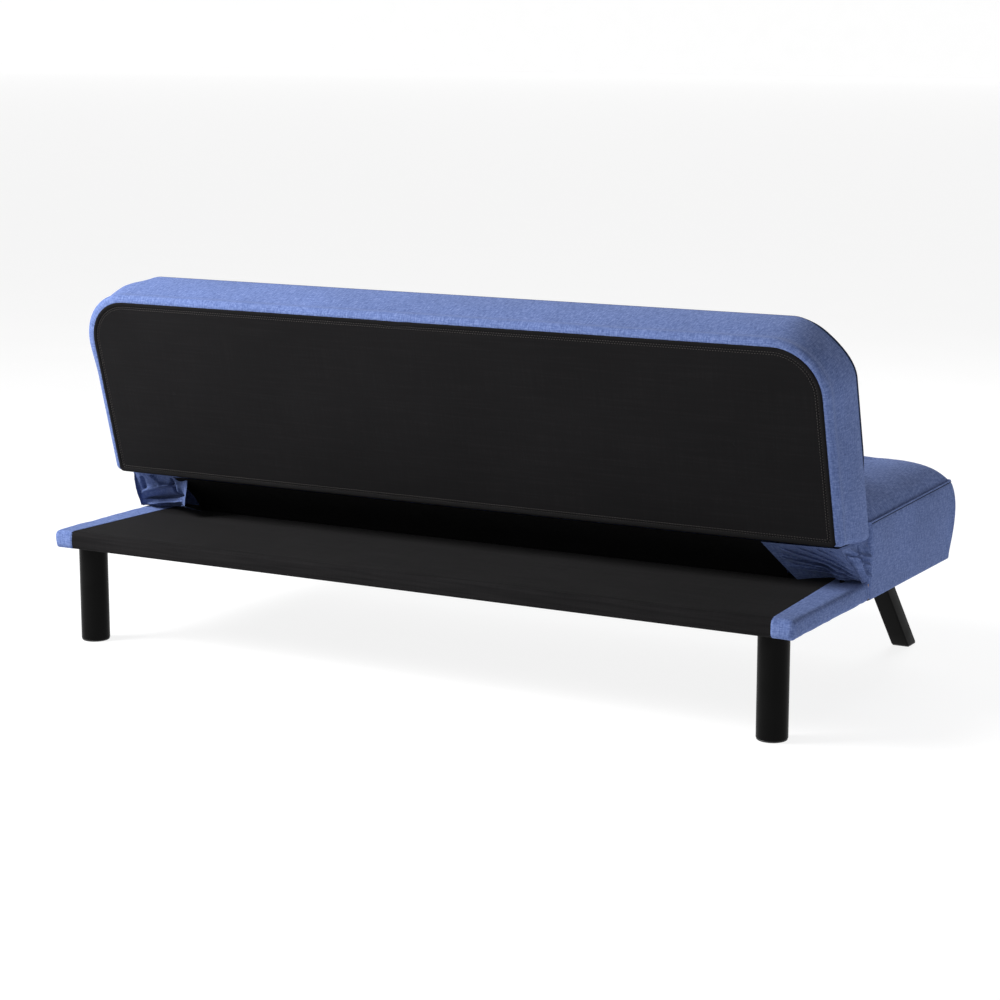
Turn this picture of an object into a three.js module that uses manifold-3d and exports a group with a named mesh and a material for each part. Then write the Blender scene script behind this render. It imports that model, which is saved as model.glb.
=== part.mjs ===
// A fold-down futon sofa bed: a long armless seat on four legs, a low fabric-covered deck behind it,
// and an upholstered backrest on two end hinges that folds down flat onto the deck to make a bed.
//
// Millimetres. +Z is up, the front of the seat faces -Y, +X is the sitter's left.
// The origin is on the floor, under the middle of the whole sofa.

import * as THREE from "three";
import { mergeVertices } from "three/addons/utils/BufferGeometryUtils.js";
import Module from "manifold-3d";

const wasm = await Module();
wasm.setup();

// ---------------------------------------------------------------- driving dimensions

const GAP = 0.3; // clearance between touching pieces
const HALF_LENGTH = 840; // half the length along X
const ORIGIN_Y = 370.5; // the working frame starts at the seat's front seam, this far ahead of the origin

// frame and deck
const DECK_BOTTOM = 203;
const DECK_TOP = 240;
const DECK_REAR = 808;
const RAIL_BOTTOM = 205;
const RAIL_TOP = 234.8;
const RAIL_WIDTH = 40;
const END_RAIL_INNER = 797.3;
const END_RAIL_OUTER = 836;
const STRIP_INNER = 790; // the blue end strips reach in to here
const CLOTH = 1.6; // thickness of the covering cloth
const DECK_EDGE_RADIUS = 10;

// seat
const SEAT_REAR = 445;
const SEAT_BOTTOM = 203.3;
const SEAT_SKIN = 2;
// side view of the seat, Y and Z, from the rear bottom round over the crown and down the bulged front
const SEAT_PROFILE = [
  [SEAT_REAR, SEAT_BOTTOM],
  [SEAT_REAR, 360],
  [436, 369],
  [400, 379],
  [320, 390],
  [220, 395],
  [120, 393],
  [50, 385],
  [12, 377],
  [-5, 369],
  [-12, 345],
  [-15, 304],
  [-13, 255],
  [-9, 225],
  [-5, SEAT_BOTTOM],
];
// front view of the seat's top, X and Z, right half
const SEAT_CROWN = [
  [HALF_LENGTH, 367],
  [832, 374],
  [790, 384],
  [700, 391],
  [450, 395],
];

// legs
const REAR_LEG_X = 779;
const REAR_LEG_Y = 757;
const REAR_LEG_RADIUS = 30;
const LEG_TOP = 202.9;
const FOOT = 3; // thickness of the plastic glides
const FRONT_LEG_INNER = 714;
const FRONT_LEG_OUTER = 752;
const FRONT_LEG_FOOT_Y = -67; // front corner of the foot
const FRONT_LEG_DEPTH = 45; // measured level
const FRONT_LEG_SLOPE = 0.918; // millimetres back for each millimetre up

// backrest, in its own frame: Z runs up along the back, Y runs to its rear, the hinge pin is at the origin
const PIVOT_Y = 501;
const PIVOT_Z = 331;
const LEAN = 14.2; // degrees back from upright
const BACK_FRONT = -45;
const BACK_REAR = 88;
const BACK_TOP = 426;
const BACK_CORNER = 112;
const PANEL_HALF = 829;
const PANEL_TOP = 416;
const PANEL_BOTTOM = 24;
const PANEL_CORNER = 102;
const PANEL_THICK = 2;
const BACK_SKIN = 2;
const TUBE_FRONT = 50; // the back frame's tubes lie between these two planes
const TUBE_REAR = 84;

// hinges
const SEAT_ARM_X = [792, 797];
const BACK_ARM_X = [797.6, 802.6];
const PIN_RADIUS = 5;
const EAR_RADIUS = 20;
const TOOTH_TIP = 24;
const TOOTH_STEP = 18.95; // degrees between ratchet notches
const PAWL_REACH = 48; // from the hinge pin to the pawl's stud
const PAWL_ANGLE = 25; // degrees forward of straight down, seen from the hinge pin

// ---------------------------------------------------------------- materials

const finish = (color, roughness, metalness = 0) =>
  new THREE.MeshStandardMaterial({ color, roughness, metalness });
const blueCloth = finish(0x6a7db2, 0.9);
const blackCloth = finish(0x1c1b1d, 0.9);
const blackSteel = finish(0x151517, 0.38, 0.3);
const zincSteel = finish(0x9a9ca0, 0.4, 0.9);
const springSteel = finish(0x6d6f74, 0.45, 0.9);
const timber = finish(0xb58d5c, 0.7);
const foam = finish(0xe6dfc6, 0.95);
const blackPlastic = finish(0x18181a, 0.6);

// ---------------------------------------------------------------- shape helpers

// A closed three.js geometry as a solid, turned the right way out.
function solid(geometry) {
  const g = geometry.clone();
  g.deleteAttribute("normal");
  g.deleteAttribute("uv");
  const merged = mergeVertices(g, 1e-4);
  const p = merged.attributes.position.array;
  const t = new Uint32Array(merged.index.array);
  let volume = 0;
  for (let i = 0; i < t.length; i += 3) {
    const [a, b, c] = [t[i] * 3, t[i + 1] * 3, t[i + 2] * 3];
    volume +=
      p[a] * (p[b + 1] * p[c + 2] - p[b + 2] * p[c + 1]) -
      p[a + 1] * (p[b] * p[c + 2] - p[b + 2] * p[c]) +
      p[a + 2] * (p[b] * p[c + 1] - p[b + 1] * p[c]);
  }
  if (volume < 0)
    for (let i = 0; i < t.length; i += 3)
      [t[i + 1], t[i + 2]] = [t[i + 2], t[i + 1]];
  return new wasm.Manifold(
    new wasm.Mesh({ numProp: 3, vertProperties: new Float32Array(p), triVerts: t }),
  );
}

function surface(manifold) {
  const m = manifold.getMesh();
  const g = new THREE.BufferGeometry();
  g.setAttribute("position", new THREE.BufferAttribute(new Float32Array(m.vertProperties), 3));
  g.setIndex(new THREE.BufferAttribute(new Uint32Array(m.triVerts), 1));
  const flat = g.toNonIndexed();
  flat.computeVertexNormals();
  return flat;
}

const shapeOf = (points) => new THREE.Shape(points.map(([x, y]) => new THREE.Vector2(x, y)));
const extruded = (points, depth) =>
  new THREE.ExtrudeGeometry(shapeOf(points), { depth, bevelEnabled: false, curveSegments: 8 });

// a (Y, Z) outline carried along X from x0 to x1
function alongX(points, x0, x1) {
  const g = extruded(points, x1 - x0);
  g.applyMatrix4(
    new THREE.Matrix4().makeBasis(
      new THREE.Vector3(0, 1, 0),
      new THREE.Vector3(0, 0, 1),
      new THREE.Vector3(1, 0, 0),
    ),
  );
  g.translate(x0, 0, 0);
  return solid(g);
}
// an (X, Z) outline carried along Y from y0 to y1
function alongY(points, y0, y1) {
  const g = extruded(points, y1 - y0);
  g.applyMatrix4(
    new THREE.Matrix4().makeBasis(
      new THREE.Vector3(1, 0, 0),
      new THREE.Vector3(0, 0, 1),
      new THREE.Vector3(0, -1, 0),
    ),
  );
  g.translate(0, y1, 0);
  return solid(g);
}
// an (X, Y) outline carried along Z from z0 to z1
function alongZ(points, z0, z1) {
  const g = extruded(points, z1 - z0);
  g.translate(0, 0, z0);
  return solid(g);
}
function block(x0, x1, y0, y1, z0, z1) {
  const g = new THREE.BoxGeometry(Math.abs(x1 - x0), y1 - y0, z1 - z0);
  g.translate((x0 + x1) / 2, (y0 + y1) / 2, (z0 + z1) / 2);
  return solid(g);
}
// a round bar along X
function barX(r, x0, x1, y, z, sides = 20) {
  const g = new THREE.CylinderGeometry(r, r, Math.abs(x1 - x0), sides);
  g.rotateZ(Math.PI / 2);
  g.translate((x0 + x1) / 2, y, z);
  return solid(g);
}
// a round bar along Z
function barZ(r, z0, z1, x, y, sides = 16) {
  const g = new THREE.CylinderGeometry(r, r, z1 - z0, sides);
  g.rotateX(Math.PI / 2);
  g.translate(x, y, (z0 + z1) / 2);
  return solid(g);
}
// an outline moved inwards by d, whichever way it runs
function inset(points, d) {
  let area = 0;
  const n = points.length;
  for (let i = 0; i < n; i++) {
    const [a, b] = [points[i], points[(i + 1) % n]];
    area += a[0] * b[1] - b[0] * a[1];
  }
  const s = Math.sign(area);
  const edge = points.map((p, i) => {
    const q = points[(i + 1) % n];
    const [dx, dy] = [q[0] - p[0], q[1] - p[1]];
    const l = Math.hypot(dx, dy);
    const [nx, ny] = [(-dy / l) * s, (dx / l) * s];
    return { nx, ny, c: nx * p[0] + ny * p[1] + d };
  });
  return points.map((_, i) => {
    const [e, f] = [edge[(i + n - 1) % n], edge[i]];
    const det = e.nx * f.ny - e.ny * f.nx;
    if (Math.abs(det) < 1e-6) return [points[i][0] + e.nx * d, points[i][1] + e.ny * d];
    return [(e.c * f.ny - f.c * e.ny) / det, (e.nx * f.c - f.nx * e.c) / det];
  });
}
const mirrored = (half) => [...half, ...half.map(([x, z]) => [-x, z]).reverse()];
const arc = (cx, cy, r, from, to, steps) =>
  Array.from({ length: steps + 1 }, (_, i) => {
    const a = ((from + ((to - from) * i) / steps) * Math.PI) / 180;
    return [cx + r * Math.cos(a), cy + r * Math.sin(a)];
  });
// mirrors X when side is -1, so one set of numbers serves both ends
const sided = (side, x0, x1) => (side > 0 ? [x0, x1] : [-x1, -x0]);

// a zigzag spring, laid flat: it runs along v from v0 to v1, swinging u by the half width;
// each side of the wire is its centre line moved sideways, mitred at the bends
function zigzag(u, half, wire, v0, v1, turns) {
  const step = (v1 - v0) / turns;
  const line = Array.from({ length: turns + 1 }, (_, i) => [
    u + (i === 0 || i === turns ? 0 : i % 2 ? half : -half),
    v0 + step * i,
  ]);
  const side = (w) =>
    line.map((p, i) => {
      const normals = [];
      for (const [a, b] of [
        [line[i - 1], p],
        [p, line[i + 1]],
      ]) {
        if (!a || !b) continue;
        const l = Math.hypot(b[0] - a[0], b[1] - a[1]);
        normals.push([(b[1] - a[1]) / l, -(b[0] - a[0]) / l]);
      }
      const [m, n] = [normals[0], normals[normals.length - 1]];
      const k = w / (1 + m[0] * n[0] + m[1] * n[1]);
      return [p[0] + (m[0] + n[0]) * k, p[1] + (m[1] + n[1]) * k];
    });
  return [...side(-wire / 2), ...side(wire / 2).reverse()];
}

const sofa = new THREE.Group();
const base = new THREE.Group();
base.position.set(0, -ORIGIN_Y, 0);
sofa.add(base);
const back = new THREE.Group();
back.position.set(0, PIVOT_Y - ORIGIN_Y, PIVOT_Z);
back.rotation.x = (-LEAN * Math.PI) / 180;
sofa.add(back);

function piece(group, name, manifold, material) {
  const mesh = new THREE.Mesh(surface(manifold), material);
  mesh.name = name;
  group.add(mesh);
  return mesh;
}

const ENDS = [
  ["left", 1],
  ["right", -1],
];

// ---------------------------------------------------------------- base frame

piece(
  base,
  "front_rail",
  block(-END_RAIL_OUTER, END_RAIL_OUTER, 0, RAIL_WIDTH, RAIL_BOTTOM, RAIL_TOP),
  timber,
);
// the rear rail's top edge is chamfered under the rounded edge of the deck cloth
piece(
  base,
  "rear_rail",
  alongX(
    [
      [765.3, RAIL_BOTTOM],
      [805.6, RAIL_BOTTOM],
      [805.6, 229],
      [798, RAIL_TOP],
      [765.3, RAIL_TOP],
    ],
    -END_RAIL_OUTER,
    END_RAIL_OUTER,
  ),
  timber,
);
piece(base, "cross_rail", block(-797, 797, 425, 465, RAIL_BOTTOM, RAIL_TOP), timber);
piece(base, "seat_stretcher", block(-20, 20, 40.5, 424.7, RAIL_BOTTOM, 230), timber);
piece(base, "deck_stretcher", block(-20, 20, 465.3, 765, RAIL_BOTTOM, RAIL_TOP), timber);

for (const [end, s] of ENDS) {
  const [x0, x1] = sided(s, END_RAIL_INNER, END_RAIL_OUTER);
  piece(base, `end_rail_${end}`, block(x0, x1, 40.5, 765, RAIL_BOTTOM, RAIL_TOP), timber);

  // corner block over the rear leg, drilled for its bolt
  const [b0, b1] = sided(s, 735, 797);
  piece(
    base,
    `rear_leg_block_${end}`,
    block(b0, b1, 700, 765, RAIL_BOTTOM, RAIL_TOP).subtract(
      barZ(4.4, RAIL_BOTTOM - 5, RAIL_TOP + 5, s * REAR_LEG_X, REAR_LEG_Y - 5),
    ),
    timber,
  );
  // block over the front leg, drilled for two bolts
  const [f0, f1] = sided(s, 700, 797);
  piece(
    base,
    `front_leg_block_${end}`,
    block(f0, f1, 82, 198, RAIL_BOTTOM, RAIL_TOP)
      .subtract(barZ(4.4, RAIL_BOTTOM - 5, RAIL_TOP + 5, s * 733, 98))
      .subtract(barZ(4.4, RAIL_BOTTOM - 5, RAIL_TOP + 5, s * 733, 181)),
    timber,
  );
}

// ---------------------------------------------------------------- deck behind the seat

piece(
  base,
  "deck_board",
  block(-789, 789, 446, 797.6, RAIL_TOP + GAP, DECK_TOP - CLOTH - GAP),
  timber,
);

// the black deck cloth: over the board, round the rear rail and tucked under it
{
  const r = DECK_EDGE_RADIUS;
  const outer = [
    [445.6, DECK_TOP],
    ...arc(DECK_REAR - r, DECK_TOP - r, r, 90, 0, 5),
    [DECK_REAR, DECK_BOTTOM],
    [780, DECK_BOTTOM],
    [780, DECK_BOTTOM + CLOTH],
    [DECK_REAR - CLOTH, DECK_BOTTOM + CLOTH],
    ...arc(DECK_REAR - r, DECK_TOP - r, r - CLOTH, 0, 90, 5),
    [445.6, DECK_TOP - CLOTH],
  ];
  piece(base, "deck_cover", alongX(outer, -789.7, 789.7), blackCloth);
}

// the padded blue strip round each end rail, open along its inner edge and slotted for the hinge arm
for (const [end, s] of ENDS) {
  const [x0, x1] = sided(s, STRIP_INNER, HALF_LENGTH);
  const r = 6;
  const top = [
    [STRIP_INNER, DECK_BOTTOM],
    [HALF_LENGTH, DECK_BOTTOM],
    ...arc(HALF_LENGTH - r, DECK_TOP - r, r, 0, 90, 4),
    [STRIP_INNER, DECK_TOP],
  ].map(([x, z]) => [x * s, z]);
  const plan = [
    [STRIP_INNER, 445.3],
    [HALF_LENGTH, 445.3],
    ...arc(HALF_LENGTH - r, DECK_REAR - r, r, 0, 90, 4),
    [STRIP_INNER, DECK_REAR],
  ].map(([x, y]) => [x * s, y]);
  const [i0, i1] = sided(s, STRIP_INNER - 20, END_RAIL_OUTER + GAP);
  const [u0, u1] = sided(s, STRIP_INNER - 20, 800);
  const [k0, k1] = sided(s, STRIP_INNER - 20, 804.5);
  const sleeve = alongY(top, 440, 820)
    .intersect(alongZ(plan, 190, 250))
    .subtract(block(i0, i1, 430, 805.9, DECK_BOTTOM + CLOTH, RAIL_TOP + GAP))
    .subtract(block(u0, u1, 430, 805.9, 190, DECK_BOTTOM + CLOTH + 1))
    .subtract(block(k0, k1, 444, 524, RAIL_TOP - 10, 260));
  piece(base, `end_strip_${end}`, sleeve, blueCloth);
}

// thin black cloth stapled under the frame, with holes for the leg bolts
{
  const outline = [
    [-799, 779.5],
    [-799, 445],
    [-837.4, 445],
    [-837.4, 1],
    [837.4, 1],
    [837.4, 445],
    [799, 445],
    [799, 779.5],
  ];
  let cloth = alongZ(outline, SEAT_BOTTOM, SEAT_BOTTOM + 1.2);
  for (const [, s] of ENDS)
    for (const [x, y] of [
      [REAR_LEG_X, REAR_LEG_Y - 5],
      [733, 98],
      [733, 181],
    ])
      cloth = cloth.subtract(barZ(6, 195, 210, s * x, y, 8));
  piece(base, "dust_cover", cloth, blackCloth);
}

// ---------------------------------------------------------------- seat

const seatForm = (d) => {
  const side = inset(SEAT_PROFILE, d);
  const crown = mirrored([[HALF_LENGTH, SEAT_BOTTOM], ...SEAT_CROWN]);
  return alongX(side, -HALF_LENGTH + d, HALF_LENGTH - d).intersect(
    alongY(inset(crown, d), -60, 480),
  );
};
piece(
  base,
  "seat_cover",
  seatForm(0)
    .subtract(seatForm(SEAT_SKIN))
    .subtract(
      // open underneath
      block(-HALF_LENGTH + SEAT_SKIN, HALF_LENGTH - SEAT_SKIN, -2.5, SEAT_REAR + 10, 190, 207),
    )
    .subtract(
      // the rear wall stops above the deck, where the frame runs on through
      block(-HALF_LENGTH + SEAT_SKIN, HALF_LENGTH - SEAT_SKIN, 430, SEAT_REAR + 10, 190, DECK_TOP + 1.2),
    ),
  blueCloth,
);
piece(
  base,
  "seat_foam",
  seatForm(SEAT_SKIN + 0.4).intersect(block(-900, 900, -100, 600, DECK_TOP + 0.2, 500)),
  foam,
);
for (const [i, x] of [-600, -200, 200, 600].entries())
  piece(
    base,
    `seat_spring_${i + 1}`,
    alongZ(zigzag(x, 24, 4, 14, 452 - 10, 18), RAIL_TOP + 0.4, RAIL_TOP + 4.4),
    springSteel,
  );

// ---------------------------------------------------------------- legs

for (const [end, s] of ENDS) {
  // rear leg: a round tube with a drilled top plate
  const rear = solid(
    new THREE.LatheGeometry(
      [
        [4.4, 199],
        [REAR_LEG_RADIUS - 1.8, 199],
        [REAR_LEG_RADIUS - 1.8, FOOT + GAP],
        [REAR_LEG_RADIUS, FOOT + GAP],
        [REAR_LEG_RADIUS, LEG_TOP],
        [4.4, LEG_TOP],
        [4.4, 199],
      ].map(([x, y]) => new THREE.Vector2(x, y)),
      28,
    ).rotateX(Math.PI / 2),
  );
  // the bolt hole sits a little ahead of the tube's middle, clear of the rear rail
  const rearLeg = piece(
    base,
    `rear_leg_${end}`,
    rear
      .add(barZ(12, 199, LEG_TOP, 0, 0, 12))
      .subtract(barZ(4.4, 190, 210, 0, -5, 12)),
    blackSteel,
  );
  rearLeg.position.set(s * REAR_LEG_X, REAR_LEG_Y, 0);

  // rear foot: a plastic glide with a plug up inside the tube
  const rearFoot = piece(
    base,
    `rear_foot_${end}`,
    solid(
      new THREE.LatheGeometry(
        [
          [0, 0],
          [REAR_LEG_RADIUS - 2, 0],
          [REAR_LEG_RADIUS, 1.6],
          [REAR_LEG_RADIUS, FOOT],
          [REAR_LEG_RADIUS - 2.2, FOOT],
          [REAR_LEG_RADIUS - 2.2, 18],
          [0, 18],
        ].map(([x, y]) => new THREE.Vector2(x, y)),
        28,
      ).rotateX(Math.PI / 2),
    ),
    blackPlastic,
  );
  rearFoot.position.set(s * REAR_LEG_X, REAR_LEG_Y, 0);

  piece(
    base,
    `rear_leg_bolt_${end}`,
    barZ(8, 193.2, 198.7, s * REAR_LEG_X, REAR_LEG_Y - 5, 6).add(
      barZ(4, 196, 228, s * REAR_LEG_X, REAR_LEG_Y - 5, 12),
    ),
    zincSteel,
  );

  // front leg: a flat rectangular tube leaning forwards, welded to a level top plate
  const lean = (z) => FRONT_LEG_FOOT_Y + FRONT_LEG_SLOPE * z;
  const slanted = (z0, z1, d) => [
    [lean(z0) + d, z0],
    [lean(z0) + FRONT_LEG_DEPTH - d, z0],
    [lean(z1) + FRONT_LEG_DEPTH - d, z1],
    [lean(z1) + d, z1],
  ];
  const [x0, x1] = sided(s, FRONT_LEG_INNER, FRONT_LEG_OUTER);
  const [p0, p1] = sided(s, 701, 766);
  piece(
    base,
    `front_leg_${end}`,
    alongX(slanted(FOOT + GAP, 199.8, 0), x0, x1)
      .subtract(alongX(slanted(-20, 240, 2.4), x0 + 1.8, x1 - 1.8))
      .add(block(p0, p1, 86, 194, 199.4, LEG_TOP))
      .subtract(barZ(4.4, 190, 210, s * 733, 98, 12))
      .subtract(barZ(4.4, 190, 210, s * 733, 181, 12)),
    blackSteel,
  );
  piece(
    base,
    `front_foot_${end}`,
    alongX(slanted(0, FOOT, 0), x0, x1),
    blackPlastic,
  );
  for (const [n, y] of [
    [1, 98],
    [2, 181],
  ])
    piece(
      base,
      `front_leg_bolt_${end}_${n}`,
      barZ(7, 193.9, 199.1, s * 733, y, 6).add(barZ(4, 197, 228, s * 733, y, 12)),
      zincSteel,
    );
}

// ---------------------------------------------------------------- hinges

for (const [end, s] of ENDS) {
  const t = (PAWL_ANGLE * Math.PI) / 180;
  const studY = PIVOT_Y - PAWL_REACH * Math.sin(t);
  const studZ = PIVOT_Z - PAWL_REACH * Math.cos(t);

  // seat arm: a steel plate bolted to the end rail; its neck leans back to the hinge ear, and it carries the pawl's stud
  const [a0, a1] = sided(s, ...SEAT_ARM_X);
  const arm = alongX(
    [
      [468, 206],
      [518, 206],
      [518, 231],
      [474, 236],
      [484, 262],
      [506, 306],
      ...arc(PIVOT_Y, PIVOT_Z, 19, -30, 170, 11),
      [468, 300],
      [452, 262],
      [448, 240],
      [448, 236.5],
      [468, 236.5],
    ],
    a0,
    a1,
  );
  const [s0, s1] = sided(s, SEAT_ARM_X[1] - 1, BACK_ARM_X[1] + 0.6);
  piece(
    base,
    `seat_arm_${end}`,
    arm
      .add(barX(3.6, s0, s1, studY, studZ, 14))
      .subtract(barX(PIN_RADIUS + 0.3, a0 - 5, a1 + 5, PIVOT_Y, PIVOT_Z)),
    zincSteel,
  );
  // hinge pin: a rivet with its head on the inner side
  const [h0, h1] = sided(s, 787.7, 791.7);
  const [q0, q1] = sided(s, 790, 804.5);
  piece(
    base,
    `hinge_pin_${end}`,
    barX(9, h0, h1, PIVOT_Y, PIVOT_Z, 16).add(barX(PIN_RADIUS, q0, q1, PIVOT_Y, PIVOT_Z, 20)),
    zincSteel,
  );
  // pawl: swings on the stud and points up at the ratchet teeth, drawn just clear of them
  const [w0, w1] = sided(s, ...BACK_ARM_X);
  const nose = [
    [-7.4, -1],
    [-5.5, 20.5],
    [-3, 22.4],
    [0.6, 19.5],
    [7.4, 1],
  ].map(([y, z]) => [
    studY + y * Math.cos(t) + z * Math.sin(t),
    studZ - y * Math.sin(t) + z * Math.cos(t),
  ]);
  piece(
    base,
    `pawl_${end}`,
    alongX(nose, w0, w1)
      .add(barX(8, w0, w1, studY, studZ, 16))
      .subtract(barX(4, w0 - 5, w1 + 5, studY, studZ, 14)),
    zincSteel,
  );
}

// ---------------------------------------------------------------- cloth between the base and the back

// the black lining that closes the gap, from the back's bottom edge down to the deck
{
  const lining = [
    [490, DECK_TOP + 1.5],
    [493, DECK_TOP + 1.5],
    [590.5, 326.5],
    [588, 327.5],
  ];
  piece(base, "gap_lining", alongX(lining, -690, 690), blackCloth);
}
// the gathered blue gusset at each end: a sloping sheet with a side wall
for (const [end, s] of ENDS) {
  const [g0, g1] = sided(s, 690.5, 838);
  const [c0, c1] = sided(s, 836.2, 838);
  const slope = [
    [478, DECK_TOP + 1.5],
    [481, DECK_TOP + 1.5],
    [590.5, 326.5],
    [588, 327.5],
  ];
  const wall = [
    [449, DECK_TOP + 1.5],
    [481, DECK_TOP + 1.5],
    [590, 326.2],
    [586, 325.5],
    [458, 316],
  ];
  piece(
    base,
    `gusset_${end}`,
    alongX(slope, g0, g1).add(alongX(wall, c0, c1)),
    blueCloth,
  );
}

// ---------------------------------------------------------------- backrest

const backOutline = (d) => {
  const half = [
    [HALF_LENGTH - d, -80],
    ...arc(HALF_LENGTH - BACK_CORNER, BACK_TOP - BACK_CORNER, BACK_CORNER - d, 0, 90, 8),
  ];
  return mirrored(half);
};
// everything of the backrest lies above this slanted bottom plane
const aboveBottom = (lift) =>
  alongX(
    [
      [-120, -46 + lift],
      [150, 44 + lift],
      [150, 600],
      [-120, 600],
    ],
    -900,
    900,
  );

piece(
  back,
  "back_cover",
  alongY(backOutline(0), BACK_FRONT, BACK_REAR)
    .intersect(aboveBottom(0))
    .subtract(alongY(backOutline(BACK_SKIN), BACK_FRONT + BACK_SKIN, BACK_REAR - BACK_SKIN))
    .subtract(alongY(backOutline(24), BACK_REAR - 10, BACK_REAR + 10)),
  blueCloth,
);
piece(
  back,
  "back_panel",
  alongY(
    mirrored([
      [PANEL_HALF - 8, PANEL_BOTTOM],
      [PANEL_HALF, PANEL_BOTTOM + 8],
      ...arc(PANEL_HALF - PANEL_CORNER, PANEL_TOP - PANEL_CORNER, PANEL_CORNER, 0, 90, 8),
    ]),
    BACK_REAR + GAP,
    BACK_REAR + GAP + PANEL_THICK,
  ),
  blackCloth,
);
{
  const pocket = mirrored([
    [829.5, -100],
    [829.5, 341],
    [803.5, 387.5],
    [760.5, 405],
  ]);
  let pad = alongY(backOutline(BACK_SKIN + 0.4), BACK_FRONT + BACK_SKIN + 0.4, BACK_REAR - BACK_SKIN - 0.4)
    .intersect(aboveBottom(3))
    .subtract(alongY(pocket, 46, 120));
  for (const [, s] of ENDS) {
    const [x0, x1] = sided(s, 785.5, 806.5);
    pad = pad.subtract(block(x0, x1, -36, 120, -90, 28));
    // a narrow pocket for the back arm's plate
    const [n0, n1] = sided(s, BACK_ARM_X[0] - 0.5, BACK_ARM_X[1] + 0.5);
    pad = pad.subtract(block(n0, n1, -4, 60, 20, 152));
  }
  piece(back, "back_foam", pad, foam);
}

piece(back, "back_top_rail", block(-760, 760, TUBE_FRONT, TUBE_REAR, 376, 404), blackSteel);
piece(back, "back_bottom_rail", block(-797.2, 797.2, TUBE_FRONT, TUBE_REAR, 30, 60), blackSteel);
piece(back, "back_upright", block(-15, 15, TUBE_FRONT, TUBE_REAR, 60.3, 375.7), blackSteel);
for (const [i, x] of [-420, 0, 420].entries())
  piece(
    back,
    `back_spring_${i + 1}`,
    alongY(zigzag(x, 24, 4, 36, 398, 16), 46.3, 49.7),
    springSteel,
  );

for (const [end, s] of ENDS) {
  const [x0, x1] = sided(s, 803, 828);
  piece(back, `back_stile_${end}`, block(x0, x1, TUBE_FRONT, TUBE_REAR, 30, 340), blackSteel);
  piece(
    back,
    `back_corner_${end}`,
    alongY(
      [
        [803, 340.4],
        [828, 340.4],
        [802, 386],
        [760.4, 404],
        [760.4, 376],
        [786, 364],
      ].map(([x, z]) => [x * s, z]),
      TUBE_FRONT,
      TUBE_REAR,
    ),
    blackSteel,
  );

  // back arm: the toothed ear on the hinge pin, and the plate up to the stile
  const [a0, a1] = sided(s, ...BACK_ARM_X);
  let arm = barX(EAR_RADIUS, a0, a1, 0, 0, 30).add(
    alongX(
      [
        [-16, 12],
        [0, 0],
        [18, 9],
        [30, 16],
        [58, 18],
        [84, 36],
        [84, 150],
        [52, 150],
        [44, 90],
        [0, 30],
      ],
      a0,
      a1,
    ),
  );
  // ratchet teeth between the notches, from just before upright to flat
  for (let i = 0; i < 5; i++) {
    const mid = LEAN - PAWL_ANGLE - TOOTH_STEP / 2 + TOOTH_STEP * i;
    const at = (deg, r) => {
      const a = (deg * Math.PI) / 180;
      return [r * Math.sin(a), -r * Math.cos(a)];
    };
    arm = arm.add(
      alongX(
        [at(mid - 8, EAR_RADIUS - 4), at(mid - 7, EAR_RADIUS), at(mid + 5, TOOTH_TIP), at(mid + 8, EAR_RADIUS), at(mid + 8, EAR_RADIUS - 4)],
        a0,
        a1,
      ),
    );
  }
  piece(
    back,
    `back_arm_${end}`,
    arm.subtract(barX(PIN_RADIUS + 0.3, a0 - 5, a1 + 5, 0, 0)),
    zincSteel,
  );
}

export default sofa;
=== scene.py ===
import math

import bpy
import numpy as np
from mathutils import Matrix, Vector


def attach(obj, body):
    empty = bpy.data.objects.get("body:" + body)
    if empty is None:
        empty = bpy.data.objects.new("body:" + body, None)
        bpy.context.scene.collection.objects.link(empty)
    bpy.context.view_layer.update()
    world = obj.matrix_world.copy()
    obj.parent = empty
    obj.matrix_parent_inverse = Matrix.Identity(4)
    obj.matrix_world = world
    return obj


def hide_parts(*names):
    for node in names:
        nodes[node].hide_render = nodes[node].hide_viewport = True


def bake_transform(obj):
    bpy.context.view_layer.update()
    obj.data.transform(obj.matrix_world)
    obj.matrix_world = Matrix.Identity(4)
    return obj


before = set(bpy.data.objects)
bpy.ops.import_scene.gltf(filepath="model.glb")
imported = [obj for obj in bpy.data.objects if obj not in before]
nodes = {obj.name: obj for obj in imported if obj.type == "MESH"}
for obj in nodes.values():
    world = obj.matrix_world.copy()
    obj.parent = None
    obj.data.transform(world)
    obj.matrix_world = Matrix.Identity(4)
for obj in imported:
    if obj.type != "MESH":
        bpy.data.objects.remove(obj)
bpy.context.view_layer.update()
scene = bpy.context.scene
rng = np.random.default_rng(11)

# ------------------------------------------------------------------ camera

cam_data = bpy.data.cameras.new("camera")
cam_data.lens = 92.24
cam_data.sensor_width = 36
cam_data.clip_end = 1500
camera = bpy.data.objects.new("camera", cam_data)
scene.collection.objects.link(camera)
camera.location = (-2.57083, 4.57751, 1.30947)
camera.rotation_mode = "QUATERNION"
camera.rotation_quaternion = Vector((0.4826, -0.8556, -0.1872)).to_track_quat("-Z", "Y")
scene.camera = camera
scene.view_settings.view_transform = "Standard"

# ------------------------------------------------------------------ the part's own sizes, in metres

MM = 0.001
ORIGIN_Y = 370.5
HALF = 840.0
PIVOT = (501.0, 331.0)
LEAN = math.radians(14.2)
SIN, COS = math.sin(LEAN), math.cos(LEAN)


def W(p):
    """Millimetres in the CAD's working frame to the row frame in metres."""
    p = np.asarray(p, float)
    return np.stack([p[..., 0], p[..., 1] - ORIGIN_Y, p[..., 2]], -1) * MM


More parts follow.
